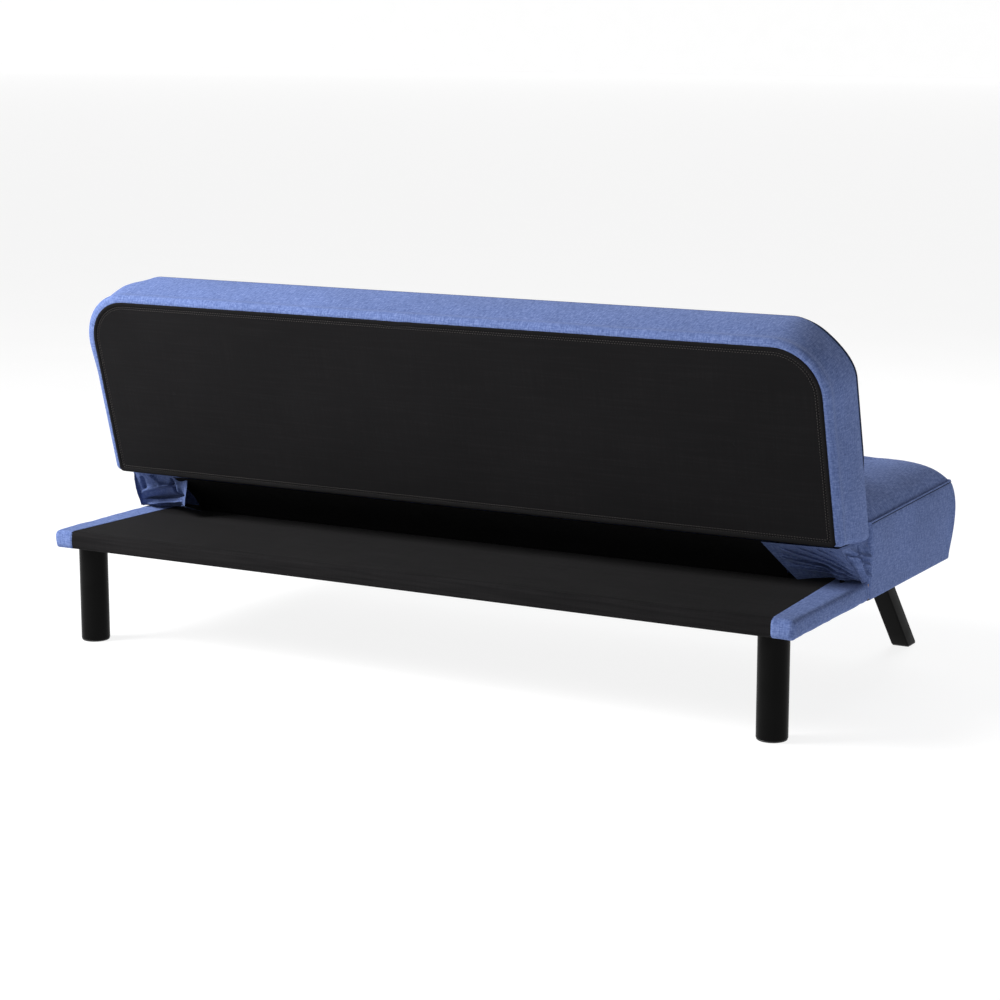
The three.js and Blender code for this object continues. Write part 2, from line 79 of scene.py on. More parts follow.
def B(p):
    """(x, y to the rear, a up the back) in the backrest's own frame to the row frame in metres."""
    p = np.asarray(p, float)
    x, y, a = p[..., 0], p[..., 1], p[..., 2]
    return W(np.stack([x, PIVOT[0] + a * SIN + y * COS, PIVOT[1] + a * COS - y * SIN], -1))


# ------------------------------------------------------------------ shared small tools


def smooth(t):
    t = np.clip(t, 0, 1)
    return t * t * (3 - 2 * t)


def wobble(u, v, size, seed, octaves=3):
    """Smooth repeatable unevenness of about -1 to 1, with features of that size."""
    r = np.random.default_rng(seed)
    total, gain, weight = np.zeros(np.broadcast(u, v).shape), 1.0, 0.0
    for k in range(octaves):
        part = np.zeros_like(total)
        for _ in range(7):
            ang, ph = r.uniform(0, 2 * math.pi, 2)
            f = (2**k) * r.uniform(0.6, 1.4) * 2 * math.pi / size
            part += np.sin(f * (u * math.cos(ang) + v * math.sin(ang)) + ph)
        total += part / 7 * gain * 1.9
        weight += gain
        gain *= 0.5
    return total / weight


def interp(x, table):
    xs, ys = zip(*table)
    return np.interp(x, xs, ys)


def soft_interp(x, table):
    """Interpolation through the table's points with a smooth curve."""
    xs = np.array([t[0] for t in table], float)
    ys = np.array([t[1] for t in table], float)
    sec = np.diff(ys) / np.diff(xs)
    m = np.zeros(len(xs))
    both = sec[:-1] * sec[1:] > 0
    m[1:-1][both] = 2 * sec[:-1][both] * sec[1:][both] / (sec[:-1] + sec[1:])[both]
    m[0], m[-1] = sec[0], sec[-1]
    x = np.clip(np.asarray(x, float), xs[0], xs[-1])
    i = np.clip(np.searchsorted(xs, x) - 1, 0, len(xs) - 2)
    h = xs[i + 1] - xs[i]
    t = (x - xs[i]) / h
    return (
        (2 * t**3 - 3 * t**2 + 1) * ys[i]
        + (t**3 - 2 * t**2 + t) * h * m[i]
        + (-2 * t**3 + 3 * t**2) * ys[i + 1]
        + (t**3 - t**2) * h * m[i + 1]
    )


def make(name, points, faces, material, cloth=None, smooth_shade=True):
    mesh = bpy.data.meshes.new(name)
    mesh.from_pydata(np.asarray(points, float).reshape(-1, 3).tolist(), [], faces)
    mesh.validate()
    if smooth_shade:
        mesh.polygons.foreach_set("use_smooth", [True] * len(mesh.polygons))
    if cloth is not None:
        att = mesh.attributes.new("cloth", "FLOAT_VECTOR", "POINT")
        att.data.foreach_set("vector", np.asarray(cloth, np.float32).reshape(-1))
    mesh.materials.append(material)
    mesh.update()
    obj = bpy.data.objects.new(name, mesh)
    scene.collection.objects.link(obj)
    return obj


def quads(rows, cols, closed=False, flip=False, base=0):
    out = []
    for j in range(rows - 1):
        for i in range(cols if closed else cols - 1):
            k = (i + 1) % cols
            q = (base + j * cols + i, base + j * cols + k, base + (j + 1) * cols + k, base + (j + 1) * cols + i)
            out.append(q[::-1] if flip else q)
    return out


def cloth_coords(points, u, v):
    n = np.asarray(points).reshape(-1, 3).shape[0]
    c = np.zeros((n, 3), np.float32)
    c[:, 0] = np.broadcast_to(u, np.asarray(points).shape[:-1]).reshape(-1) * MM
    c[:, 1] = np.broadcast_to(v, np.asarray(points).shape[:-1]).reshape(-1) * MM
    return c


def loop(xh, v0, v1, r0, r1, counts=(60, 10, 36, 14, 120)):
    """A rounded rectangle in (x, v) from the middle of the v0 side, with its outward normals."""
    n0, c0, ns, c1, n1 = counts
    pts, nor = [], []

    def line(a, b, n, normal):
        for t in np.linspace(0, 1, n + 1)[1:-1]:
            pts.append((a[0] + (b[0] - a[0]) * t, a[1] + (b[1] - a[1]) * t))
            nor.append(normal)

    def turn(cx, cv, r, start, n):
        for t in np.linspace(0, 1, n + 1):
            a = start + t * math.pi / 2
            pts.append((cx + r * math.cos(a), cv + r * math.sin(a)))
            nor.append((math.cos(a), math.sin(a)))

    pts.append((0, v0))
    nor.append((0, -1))
    line((0, v0), (xh - r0, v0), n0, (0, -1))
    turn(xh - r0, v0 + r0, r0, -math.pi / 2, c0)
    line((xh, v0 + r0), (xh, v1 - r1), ns, (1, 0))
    turn(xh - r1, v1 - r1, r1, 0, c1)
    line((xh - r1, v1), (-xh + r1, v1), n1, (0, 1))
    turn(-xh + r1, v1 - r1, r1, math.pi / 2, c1)
    line((-xh, v1 - r1), (-xh, v0 + r0), ns, (-1, 0))
    turn(-xh + r0, v0 + r0, r0, math.pi, c0)
    line((-xh + r0, v0), (0, v0), n0, (0, -1))
    return np.array(pts), np.array(nor)


def along(points):
    """Distance along a path, from its first point."""
    d = np.linalg.norm(np.diff(points, axis=0), axis=1)
    return np.concatenate([[0], np.cumsum(d)])


def ring_piece(name, rings, u, v, material, flip=False, caps=()):
    """A piece made of closed rings of equal length. The ring's first point is doubled, so the cloth's own measure doesn't run back across one face."""
    rings = np.asarray(rings, float)
    rows, n = rings.shape[:2]
    rings = np.concatenate([rings, rings[:, :1]], 1)
    faces = quads(rows, n + 1, flip=flip)
    return make(name, rings, faces, material, cloth_coords(rings, u, v))


def tube(name, path, radius, material, sides=10, closed=False, squash=None):
    path = np.asarray(path, float)
    n = len(path)
    nxt = np.roll(path, -1, 0) if closed else np.vstack([path[1:], path[-1:] * 2 - path[-2:-1]])
    prv = np.roll(path, 1, 0) if closed else np.vstack([path[:1] * 2 - path[1:2], path[:-1]])
    tan = nxt - prv
    tan /= np.linalg.norm(tan, axis=1)[:, None] + 1e-12
    ref = np.tile(np.array([0.0, 0.0, 1.0]), (n, 1))
    flat = np.abs(tan @ np.array([0, 0, 1.0])) > 0.92
    ref[flat] = (1.0, 0.0, 0.0)
    a = np.cross(tan, ref)
    a /= np.linalg.norm(a, axis=1)[:, None]
    # carry the frame along, so that it doesn't twist
    for i in range(1, n):
        p = a[i - 1] - tan[i] * (a[i - 1] @ tan[i])
        a[i] = p / (np.linalg.norm(p) + 1e-12)
    b = np.cross(tan, a)
    ang = np.linspace(0, 2 * math.pi, sides, endpoint=False)
    r = np.broadcast_to(radius, (n,))
    rings = path[:, None] + r[:, None, None] * (np.cos(ang)[None, :, None] * a[:, None] + np.sin(ang)[None, :, None] * b[:, None])
    faces = []
    for j in range(n if closed else n - 1):
        k = (j + 1) % n
        for i in range(sides):
            m = (i + 1) % sides
            faces.append((j * sides + i, j * sides + m, k * sides + m, k * sides + i))
    if not closed:
        faces.append(tuple(range(sides))[::-1])
        faces.append(tuple((n - 1) * sides + i for i in range(sides)))
    s = along(path)
    cloth = np.zeros((n, sides, 3), np.float32)
    cloth[..., 0] = s[:, None]
    cloth[..., 1] = (ang * 1.0)[None] * np.mean(r)
    return make(name, rings, faces, material, cloth)


def stitches(name, path, normal, material, pitch=6.0, length=4.2, radius=0.45, lift=0.2):
    """Separate thread stitches along a path given in metres: each is a short arched thread that dips into the cloth at both ends."""
    path = np.asarray(path, float)
    normal = np.asarray(normal, float)
    s = along(path)
    total = s[-1]
    count = int(total / (pitch * MM))
    sides, steps = 6, 5
    pts, faces, cloth = [], [], []
    ang = np.linspace(0, 2 * math.pi, sides, endpoint=False)
    for k in range(count):
        mid = (k + 0.5) * total / count
        base = len(pts)
        ts = np.linspace(-0.5, 0.5, steps)
        for t in ts:
            q = mid + t * length * MM
            p = np.array([np.interp(q, s, path[:, c]) for c in range(3)])
            n = np.array([np.interp(q, s, normal[:, c]) for c in range(3)])
            n /= np.linalg.norm(n) + 1e-12
            i = min(max(int(np.searchsorted(s, q)), 1), len(s) - 1)
            d = path[i] - path[i - 1]
            d /= np.linalg.norm(d) + 1e-12
            side = np.cross(n, d)
            p = p + n * (lift - 1.0 * (2 * abs(t)) ** 3) * MM
            r = radius * MM * (1 - 0.45 * (2 * abs(t)) ** 2)
            for a in ang:
                pts.append(p + r * (math.cos(a) * side + math.sin(a) * n))
                cloth.append((q, a * 0.0005, 0))
        for j in range(steps - 1):
            for i in range(sides):
                m = (i + 1) % sides
                faces.append((base + j * sides + i, base + j * sides + m, base + (j + 1) * sides + m, base + (j + 1) * sides + i))
        faces.append(tuple(base + i for i in range(sides))[::-1])
        faces.append(tuple(base + (steps - 1) * sides + i for i in range(sides)))
    return make(name, pts, faces, material, cloth)


def settle(obj, pin, pressure, cap, bending=0.6, tension=18, frames=20, shrink=0.0):
    """Fills the cloth with air against its pinned edge by simulation, and keeps the result in the mesh. No point moves further than cap, in metres."""
    group = obj.vertex_groups.new(name="pin")
    for i in np.nonzero(pin > 0)[0]:
        group.add([int(i)], float(pin[i]), "REPLACE")
    start = np.zeros(len(obj.data.vertices) * 3)
    obj.data.vertices.foreach_get("co", start)
    start = start.reshape(-1, 3)
    mod = obj.modifiers.new("cloth", "CLOTH")
    s = mod.settings
    s.quality = 6
    s.mass = 0.25
    s.tension_stiffness = tension
    s.compression_stiffness = tension
    s.shear_stiffness = tension * 0.4
    s.bending_stiffness = bending
    s.tension_damping = s.compression_damping = 12
    s.use_pressure = True
    s.uniform_pressure_force = pressure
    s.shrink_min = shrink
    s.vertex_group_mass = "pin"
    s.effector_weights.gravity = 0
    mod.collision_settings.use_collision = False
    mod.point_cache.frame_start = 1
    mod.point_cache.frame_end = frames
    for f in range(1, frames + 1):
        scene.frame_set(f)
    got = obj.evaluated_get(bpy.context.evaluated_depsgraph_get())
    end = np.zeros(len(start) * 3)
    got.data.vertices.foreach_get("co", end)
    end = end.reshape(-1, 3)
    move = end - start
    far = np.linalg.norm(move, axis=1)
    print(obj.name, "settled by up to", round(float(far.max()) * 1000, 1), "mm, usually", round(float(np.median(far)) * 1000, 1))
    keep = cap * np.tanh(far / cap) / np.maximum(far, 1e-9)
    obj.modifiers.remove(mod)
    obj.vertex_groups.remove(group)
    obj.data.vertices.foreach_set("co", (start + move * keep[:, None]).reshape(-1))
    obj.data.update()
    scene.frame_set(1)


# ------------------------------------------------------------------ materials


def lin(r, g, b):
    return tuple(((c / 255) / 12.92 if c / 255 <= 0.04045 else ((c / 255 + 0.055) / 1.055) ** 2.4) for c in (r, g, b)) + (1.0,)


def grey(v):
    return (v, v, v, 1.0)


class Mat:
    def __init__(self, name):
        self.m = bpy.data.materials.new(name)
        self.m.use_nodes = True
        self.nt = self.m.node_tree
        self.nt.nodes.clear()
        self.out = self.n("ShaderNodeOutputMaterial")
        self.p = self.n("ShaderNodeBsdfPrincipled")
        self.link(self.p.outputs[0], self.out.inputs[0])

    def n(self, kind, **props):
        node = self.nt.nodes.new(kind)
        for k, v in props.items():
            setattr(node, k, v)
        return node

    def link(self, a, b):
        self.nt.links.new(a, b)

    def set(self, **values):
        for k, v in values.items():
            self.p.inputs[k.replace("_", " ")].default_value = v

    def place(self, kind):
        if kind == "cloth":
            return self.n("ShaderNodeAttribute", attribute_name="cloth", attribute_type="GEOMETRY").outputs["Vector"]
        return self.n("ShaderNodeTexCoord").outputs["Object"]

    def scaled(self, source, scale, rotation=(0, 0, 0)):
        node = self.n("ShaderNodeMapping")
        node.inputs["Scale"].default_value = scale
        node.inputs["Rotation"].default_value = rotation
        self.link(source, node.inputs["Vector"])
        return node.outputs[0]

    def noise(self, source, scale=1.0, detail=2.0, rough=0.5, distortion=0.0):
        node = self.n("ShaderNodeTexNoise")
        node.inputs["Scale"].default_value = scale
        node.inputs["Detail"].default_value = detail
        node.inputs["Roughness"].default_value = rough
        node.inputs["Distortion"].default_value = distortion
        self.link(source, node.inputs["Vector"])
        return node.outputs["Fac"]

    def math(self, op, a, b=None, clamp=False):
        node = self.n("ShaderNodeMath", operation=op, use_clamp=clamp)
        for i, x in enumerate((a, b)):
            if x is None:
                continue
            if isinstance(x, (int, float)):
                node.inputs[i].default_value = x
            else:
                self.link(x, node.inputs[i])
        return node.outputs[0]

    def ramp(self, fac, stops, mode="LINEAR"):
        node = self.n("ShaderNodeValToRGB")
        node.color_ramp.interpolation = mode
        e = node.color_ramp.elements
        while len(e) < len(stops):
            e.new(0.5)
        for el, (pos, col) in zip(e, stops):
            el.position = pos
            el.color = col
        self.link(fac, node.inputs[0])
        return node.outputs[0]

    def mix(self, fac, a, b, mode="MIX"):
        node = self.n("ShaderNodeMix", data_type="RGBA", blend_type=mode)
        if isinstance(fac, (int, float)):
            node.inputs[0].default_value = fac
        else:
            self.link(fac, node.inputs[0])
        for i, x in ((6, a), (7, b)):
            if isinstance(x, tuple):
                node.inputs[i].default_value = x
            else:
                self.link(x, node.inputs[i])
        return node.outputs[2]

    def bump(self, height, strength, distance, normal=None):
        node = self.n("ShaderNodeBump")
        node.inputs["Strength"].default_value = strength
        node.inputs["Distance"].default_value = distance
        self.link(height, node.inputs["Height"])
        if normal is not None:
            self.link(normal, node.inputs["Normal"])
        return node.outputs[0]


def weave_height(m, src, pitch):
    """Over-and-under yarns of a plain weave, about 0 to 1."""
    sep = m.n("ShaderNodeSeparateXYZ")
    m.link(src, sep.inputs[0])
    f = 2 * math.pi / pitch
    sx = m.math("SINE", m.math("MULTIPLY", sep.outputs[0], f))
    sy = m.math("SINE", m.math("MULTIPLY", sep.outputs[1], f))
    return m.math("MULTIPLY_ADD", m.math("MULTIPLY", sx, sy), 0.5)


def blue_fabric(name, shade=1.0, sheen=0.12):
    """Melange upholstery weave: pale and dark blue yarns of uneven thickness both ways."""
    m = Mat(name)
    src = m.place("cloth")
    weft = m.noise(m.scaled(src, (70, 360, 1)), 1.0, 3, 0.65)
    warp = m.noise(m.scaled(src, (330, 55, 1)), 1.0, 3, 0.65)
    fleck = m.noise(m.scaled(src, (230, 230, 1)), 1.0, 3, 0.7)
    large = m.noise(m.scaled(src, (7, 7, 1)), 1.0, 3, 0.6)
    yarns = m.math("ADD", m.math("MULTIPLY", weft, 0.34), m.math("ADD", m.math("MULTIPLY", warp, 0.36), m.math("MULTIPLY", fleck, 0.3)))
    # shade darkens the whole cloth: for the navy it is the dark colour of its threads and edging, for the gusset and
    # side wall copies it is painted shade
    k = shade
    dark = (0.072 * k, 0.108 * k, 0.262 * k, 1)
    mid = (0.122 * k, 0.176 * k, 0.385 * k, 1)
    pale = (0.198 * k, 0.262 * k, 0.505 * k, 1)
    col = m.ramp(yarns, [(0.40, dark), (0.5, mid), (0.61, pale)])
    tone = m.ramp(large, [(0.3, grey(0.9)), (0.7, grey(1.06))])
    col = m.mix(1.0, col, tone, "MULTIPLY")
    m.link(col, m.p.inputs["Base Color"])
    rough = m.ramp(fleck, [(0.3, grey(0.78)), (0.7, grey(0.96))])
    m.link(rough, m.p.inputs["Roughness"])
    m.set(Sheen_Weight=sheen, Sheen_Roughness=0.5, Sheen_Tint=(0.55, 0.66, 1.0, 1.0), Specular_IOR_Level=0.08)
    fine = m.bump(weave_height(m, src, 0.0016), 0.4, 0.0004)
    n = m.bump(yarns, 0.8, 0.0016, fine)
    m.link(n, m.p.inputs["Normal"])
    return m.m


def black_fabric(name, base, along_streak=1.0, lift=1.0):
    """Thin plain black weave with faint lengthwise streaks."""
    m = Mat(name)
    src = m.place("cloth")
    streak = m.noise(m.scaled(src, (6, 190, 1)), 1.0, 4, 0.62)
    cross = m.noise(m.scaled(src, (300, 8, 1)), 1.0, 3, 0.6)
    grain = m.noise(m.scaled(src, (700, 700, 1)), 1.0, 2, 0.5)
    big = m.noise(m.scaled(src, (3.5, 3.5, 1)), 1.0, 3, 0.55)
    mixv = m.math("ADD", m.math("MULTIPLY", streak, 0.5 * along_streak), m.math("ADD", m.math("MULTIPLY", cross, 0.2), m.math("MULTIPLY", grain, 0.3)))
    lo, hi = base * 0.72, base * 1.34
    col = m.ramp(mixv, [(0.40, (lo, lo * 0.96, lo * 1.04, 1)), (0.60, (hi * 1.03, hi * 0.97, hi * 1.03, 1))])
    col = m.mix(1.0, col, m.ramp(big, [(0.3, grey(0.88)), (0.7, grey(1.1))]), "MULTIPLY")
    m.link(col, m.p.inputs["Base Color"])
    m.link(m.ramp(grain, [(0.3, grey(0.74)), (0.7, grey(0.92))]), m.p.inputs["Roughness"])
    m.set(Sheen_Weight=0.02 * lift, Sheen_Roughness=0.5, Specular_IOR_Level=0.05)
    fine = m.bump(weave_height(m, src, 0.0013), 0.3, 0.0002)
    m.link(m.bump(mixv, 0.4, 0.0005, fine), m.p.inputs["Normal"])
    return m.m


def thread(name, color):
    m = Mat(name)
    src = m.place("cloth")
    twist = m.noise(m.scaled(src, (2600, 900, 1), (0, 0, 0.6)), 1.0, 2)
    c = tuple(color)
    m.link(m.ramp(twist, [(0.35, tuple(x * 0.7 for x in c[:3]) + (1,)), (0.65, c)]), m.p.inputs["Base Color"])
    m.link(m.ramp(twist, [(0.3, grey(0.5)), (0.7, grey(0.75))]), m.p.inputs["Roughness"])
    m.link(m.bump(twist, 0.5, 0.0001), m.p.inputs["Normal"])
    return m.m


def painted_steel(name, base=0.0035, rough=0.3, gloss=0.045):
    m = Mat(name)
    src = m.place("object")
    peel = m.noise(m.scaled(src, (520, 520, 520)), 1.0, 2)
    large = m.noise(m.scaled(src, (14, 14, 14)), 1.0, 4, 0.6)
    m.link(m.ramp(large, [(0.3, grey(base * 0.85)), (0.7, grey(base * 1.2))]), m.p.inputs["Base Color"])
    m.link(m.ramp(large, [(0.3, grey(rough - 0.05)), (0.7, grey(rough + 0.09))]), m.p.inputs["Roughness"])
    m.set(Specular_IOR_Level=gloss)
    m.link(m.bump(peel, 0.12, 0.0003), m.p.inputs["Normal"])
    return m.m


def bare_steel(name, base, rough):
    m = Mat(name)
    src = m.place("object")
    spangle = m.n("ShaderNodeTexVoronoi")
    spangle.inputs["Scale"].default_value = 240
    m.link(src, spangle.inputs["Vector"])
    smear = m.noise(m.scaled(src, (60, 60, 260)), 1.0, 4, 0.6)
    mixv = m.math("ADD", m.math("MULTIPLY", spangle.outputs["Distance"], 0.35), m.math("MULTIPLY", smear, 0.75))
    lo, hi = base * 0.72, base * 1.12
    m.link(m.ramp(mixv, [(0.25, (lo, lo, lo * 1.03, 1)), (0.75, (hi, hi, hi * 1.02, 1))]), m.p.inputs["Base Color"])
    m.link(m.ramp(smear, [(0.3, grey(rough - 0.08)), (0.7, grey(rough + 0.12))]), m.p.inputs["Roughness"])
    m.set(Metallic=0.95)
    m.link(m.bump(smear, 0.15, 0.0002), m.p.inputs["Normal"])
    return m.m


def plastic(name):
    m = Mat(name)
    src = m.place("object")
    grain = m.noise(m.scaled(src, (900, 900, 900)), 1.0, 2)
    large = m.noise(m.scaled(src, (20, 20, 20)), 1.0, 3)
    m.link(m.ramp(large, [(0.3, grey(0.009)), (0.7, grey(0.014))]), m.p.inputs["Base Color"])
    m.link(m.ramp(grain, [(0.3, grey(0.48)), (0.7, grey(0.66))]), m.p.inputs["Roughness"])
    m.link(m.bump(grain, 0.25, 0.0002), m.p.inputs["Normal"])
    return m.m


def wood(name):
    m = Mat(name)
    src = m.place("object")
    warp = m.noise(m.scaled(src, (2.0, 9, 9)), 1.0, 3, 0.6)
    rings = m.n("ShaderNodeTexWave", wave_type="BANDS", bands_direction="Y")
    rings.inputs["Scale"].default_value = 28
    rings.inputs["Distortion"].default_value = 5
    rings.inputs["Detail"].default_value = 3
    m.link(m.scaled(src, (0.35, 3, 3)), rings.inputs["Vector"])
    fibre = m.noise(m.scaled(src, (12, 420, 420)), 1.0, 3, 0.6)
    mixv = m.math("ADD", m.math("MULTIPLY", rings.outputs["Fac"], 0.45), m.math("ADD", m.math("MULTIPLY", fibre, 0.35), m.math("MULTIPLY", warp, 0.2)))
    m.link(m.ramp(mixv, [(0.25, lin(140, 98, 56)), (0.5, lin(184, 142, 92)), (0.8, lin(214, 178, 128))]), m.p.inputs["Base Color"])
    m.link(m.ramp(fibre, [(0.3, grey(0.6)), (0.7, grey(0.82))]), m.p.inputs["Roughness"])
    m.link(m.bump(mixv, 0.3, 0.0004), m.p.inputs["Normal"])
    return m.m


def non_woven(name):
    m = Mat(name)
    src = m.place("object")
    dots = m.n("ShaderNodeTexVoronoi")
    dots.inputs["Scale"].default_value = 420
    m.link(src, dots.inputs["Vector"])
    fibre = m.noise(m.scaled(src, (240, 900, 200), (0, 0, 0.7)), 1.0, 4, 0.65)
    mixv = m.math("ADD", m.math("MULTIPLY", dots.outputs["Distance"], 0.4), m.math("MULTIPLY", fibre, 0.6))
    m.link(m.ramp(mixv, [(0.25, grey(0.008)), (0.75, grey(0.024))]), m.p.inputs["Base Color"])
    m.link(m.ramp(fibre, [(0.3, grey(0.8)), (0.7, grey(0.96))]), m.p.inputs["Roughness"])
    m.link(m.bump(mixv, 0.4, 0.0003), m.p.inputs["Normal"])
    return m.m


def foam_look(name):
    m = Mat(name)
    src = m.place("object")
    cells = m.n("ShaderNodeTexVoronoi")
    cells.inputs["Scale"].default_value = 500
    m.link(src, cells.inputs["Vector"])
    m.link(m.ramp(cells.outputs["Distance"], [(0.1, lin(205, 196, 160)), (0.6, lin(236, 228, 200))]), m.p.inputs["Base Color"])
    m.link(m.ramp(cells.outputs["Distance"], [(0.1, grey(0.85)), (0.6, grey(0.98))]), m.p.inputs["Roughness"])
    m.link(m.bump(cells.outputs["Distance"], 0.4, 0.0004), m.p.inputs["Normal"])
    return m.m


BLUE = blue_fabric("blue_melange")
# the gusset is the same blue cloth at 0.7 of its brightness: painted shade of the sloping sheet under the back
BLUE_GUSSET_PAINTED_SHADE = blue_fabric("blue_melange_gusset_painted_shade", 0.7, 0.08)
# the side wall is the same blue cloth at 0.9 of its brightness: painted shade
BLUE_WALL_PAINTED_SHADE = blue_fabric("blue_melange_wall_painted_shade", 0.9, 0.1)
NAVY = blue_fabric("navy_edge", 0.16, 0.02)
PANEL = black_fabric("black_back_cloth", 0.0105, 0.6)
DECK = black_fabric("black_deck_cloth", 0.0088, 1.0)
# the lining is the black cloth at under half the deck's brightness: painted shade of the deep gap between the back and
# the seat
LINING_PAINTED_SHADE = black_fabric("black_lining_painted_shade", 0.004, 0.5, 0.3)
THREAD_BLUE = thread("blue_thread", lin(112, 134, 186))
THREAD_BLACK = thread("black_thread", (0.075, 0.066, 0.06, 1.0))
STEEL = painted_steel("black_painted_steel")
STEEL_FRONT = painted_steel("black_steel_front", 0.003, 0.34, 0.018)
ZINC = bare_steel("zinc_plate", 0.62, 0.34)
SPRING = bare_steel("spring_wire", 0.3, 0.42)
PLASTIC = plastic("black_plastic")
WOOD = wood("frame_timber")
DUST = non_woven("dust_cloth")
FOAM = foam_look("foam")

LOOK = {
    "blue_fabric": BLUE, "black_fabric": DUST, "black_steel": STEEL, "black_plastic": PLASTIC,
    "zinc_steel": ZINC, "spring_steel": SPRING, "timber": WOOD, "foam": FOAM,
}


def look_of(name):
    for start, mat in (
        ("seat_spring", SPRING), ("back_spring", SPRING), ("seat_foam", FOAM), ("back_foam", FOAM),
        ("seat_arm", STEEL), ("back_arm", STEEL), ("pawl", ZINC), ("hinge_pin", ZINC),
        ("seat_cover", BLUE), ("back_cover", BLUE), ("end_strip", BLUE), ("gusset", BLUE),
        ("back_panel", DUST), ("deck_cover", DUST), ("dust_cover", DUST), ("gap_lining", DUST),
        ("back_stile", STEEL), ("back_corner", STEEL), ("back_top", STEEL), ("back_bottom", STEEL), ("back_upright", STEEL),
        ("rear_foot", PLASTIC), ("front_foot", PLASTIC),
        ("rear_leg_block", WOOD), ("front_leg_block", WOOD), ("rear_leg_bolt", ZINC), ("front_leg_bolt", ZINC),
        ("rear_leg", STEEL), ("front_leg", STEEL),
    ):
        if name.startswith(start):
            return mat
    return WOOD


for name, obj in nodes.items():
    obj.data.materials.clear()
    obj.data.materials.append(look_of(name))

# ------------------------------------------------------------------ seat

SEAM_OUT = 837.0  # half length at the seat's top seam
SEAT_REAR = 443.0
SEAT_FRONT = -12.0


def seam_z(y):
    return 364 - 11 * np.clip(y, 0, 445) / 445


def refined(lo, hi, step, edge=(0, 1.0, 2.6, 4.8, 7.6, 11.2, 16, 22, 29, 38)):
    edge = [e for e in edge if e < (hi - lo) / 2 - step]
    inner = np.linspace(lo + edge[-1], hi - edge[-1], max(3, int((hi - lo - 2 * edge[-1]) / step) + 1))
    return np.concatenate([[lo + e for e in edge[:-1]], inner, [hi - e for e in edge[:-1]][::-1]])


def round_corner(x, v, xh, v_corner, r, sign):
    """Moves the grid points in a corner's square onto circles about the corner's centre."""
    cx, cv = xh - r, v_corner - sign * r
    a, b = np.abs(x) - cx, sign * (v - cv)
    inside = (a > 0) & (b > 0)
    k = np.where(inside, np.maximum(a, b) / np.maximum(np.hypot(a, b), 1e-9), 1)
    nx = np.where(inside, np.sign(x) * (cx + a * k), x)
    nv = np.where(inside, cv + sign * b * k, v)
    return nx, nv


TUFT_X = [-695, -417, -139, 139, 417, 695]
TUFT_SEAT_Y = [73, 222, 371]
TUFT_BACK_A = [118, 290]


def crown_top(xs, vs, xh, v0, v1, rise, reach):
    X, V = np.meshgrid(xs, vs)
    dx = xh - np.abs(X)
    d0, d1 = V - v0, v1 - V
    near = (np.maximum(dx, 0.01) ** -2.6 + np.maximum(d0, 0.01) ** -2.6 + np.maximum(d1, 0.01) ** -2.6) ** (-1 / 2.6)
    return X, V, rise * (1 - np.exp(-near / reach))


def tufts(X, V, columns, rows, deep, wide):
    """Depth of the small stitched tucks: a sharp pit in a shallow soft dimple, with faint pulls running out of it."""
    out = np.zeros_like(X)
    for v in rows:
        for x in columns:
            dx, dv = X - x, V - v
            r = np.hypot(dx, dv)
            near = r < wide * 4
            t = np.arctan2(dv, dx)
            pulls = 0.25 * np.cos(4 * t) * np.exp(-r / (wide * 0.9)) * (1 - np.exp(-r / (wide * 0.35)))
            out += np.where(near, deep * (0.62 * np.exp(-((r / wide) ** 2)) + 0.38 * np.exp(-r / (wide * 0.32)) + pulls), 0)
    return out


def fine_near(values, centres, half=36, step=6.0):
    """Adds grid lines near the given places, so that a small dimple has enough points."""
    extra = [c + o for c in centres for o in np.arange(-half, half + 0.1, step)]
    merged = np.sort(np.concatenate([values, extra]))
    keep = [merged[0]]
    for m in merged[1:-1]:
        if m - keep[-1] > 3.0 or (m - merged[0] < 30 and m - keep[-1] > 0.9) or (merged[-1] - m < 30 and m - keep[-1] > 0.9):
            keep.append(m)
    if merged[-1] - keep[-1] < 0.8:
        keep.pop()
    keep.append(merged[-1])
    return np.array(keep)


def seat_top():
    xh, y0, y1 = SEAM_OUT - 2.6, SEAT_FRONT + 2.6, SEAT_REAR - 2.6
    xs = fine_near(refined(-xh, xh, 11), TUFT_X)
    ys = fine_near(refined(y0, y1, 11), TUFT_SEAT_Y)
    X, Y, h = crown_top(xs, ys, xh, y0, y1, 1.0, 27)
    h = h * (57 - 1 * np.clip(Y, 0, 445) / 445)
    pits = tufts(X, Y, TUFT_X, TUFT_SEAT_Y, 7.0, 17)
    gx, gy = round_corner(X, Y, xh, y0, 5, -1)
    gx, gy = round_corner(gx, gy, xh, y1, 10, 1)
    # pulled slightly inwards between the corners, and a small peak where the seam turns the front corner
    edge = np.minimum(np.minimum(xh - np.abs(X), Y - y0), y1 - Y)
    h = h + 0.8 * wobble(X, Y, 260, 3) * smooth(edge / 60) + 1.5 * np.exp(-((xh - np.abs(X)) ** 2 + (Y - y0) ** 2) / 160)
    z = seam_z(Y) - 3.2 + h - pits
    obj = make("seat_top", W(np.stack([gx, gy, z], -1)), quads(*X.shape), BLUE, cloth_coords(gx[..., None] * [1, 1, 1], X, Y))
    pin = np.where(edge < 2.0, 1.0, np.where(edge < 8, 0.6, 0.0))
    for x in TUFT_X:
        for y in TUFT_SEAT_Y:
            r = np.hypot(X - x, Y - y)
            pin = np.maximum(pin, np.where(r < 5, 1.0, 0))
    settle(obj, pin.reshape(-1), 3.0, 0.0035)
    return obj


SEAT_COUNTS = (70, 8, 38, 8, 140)


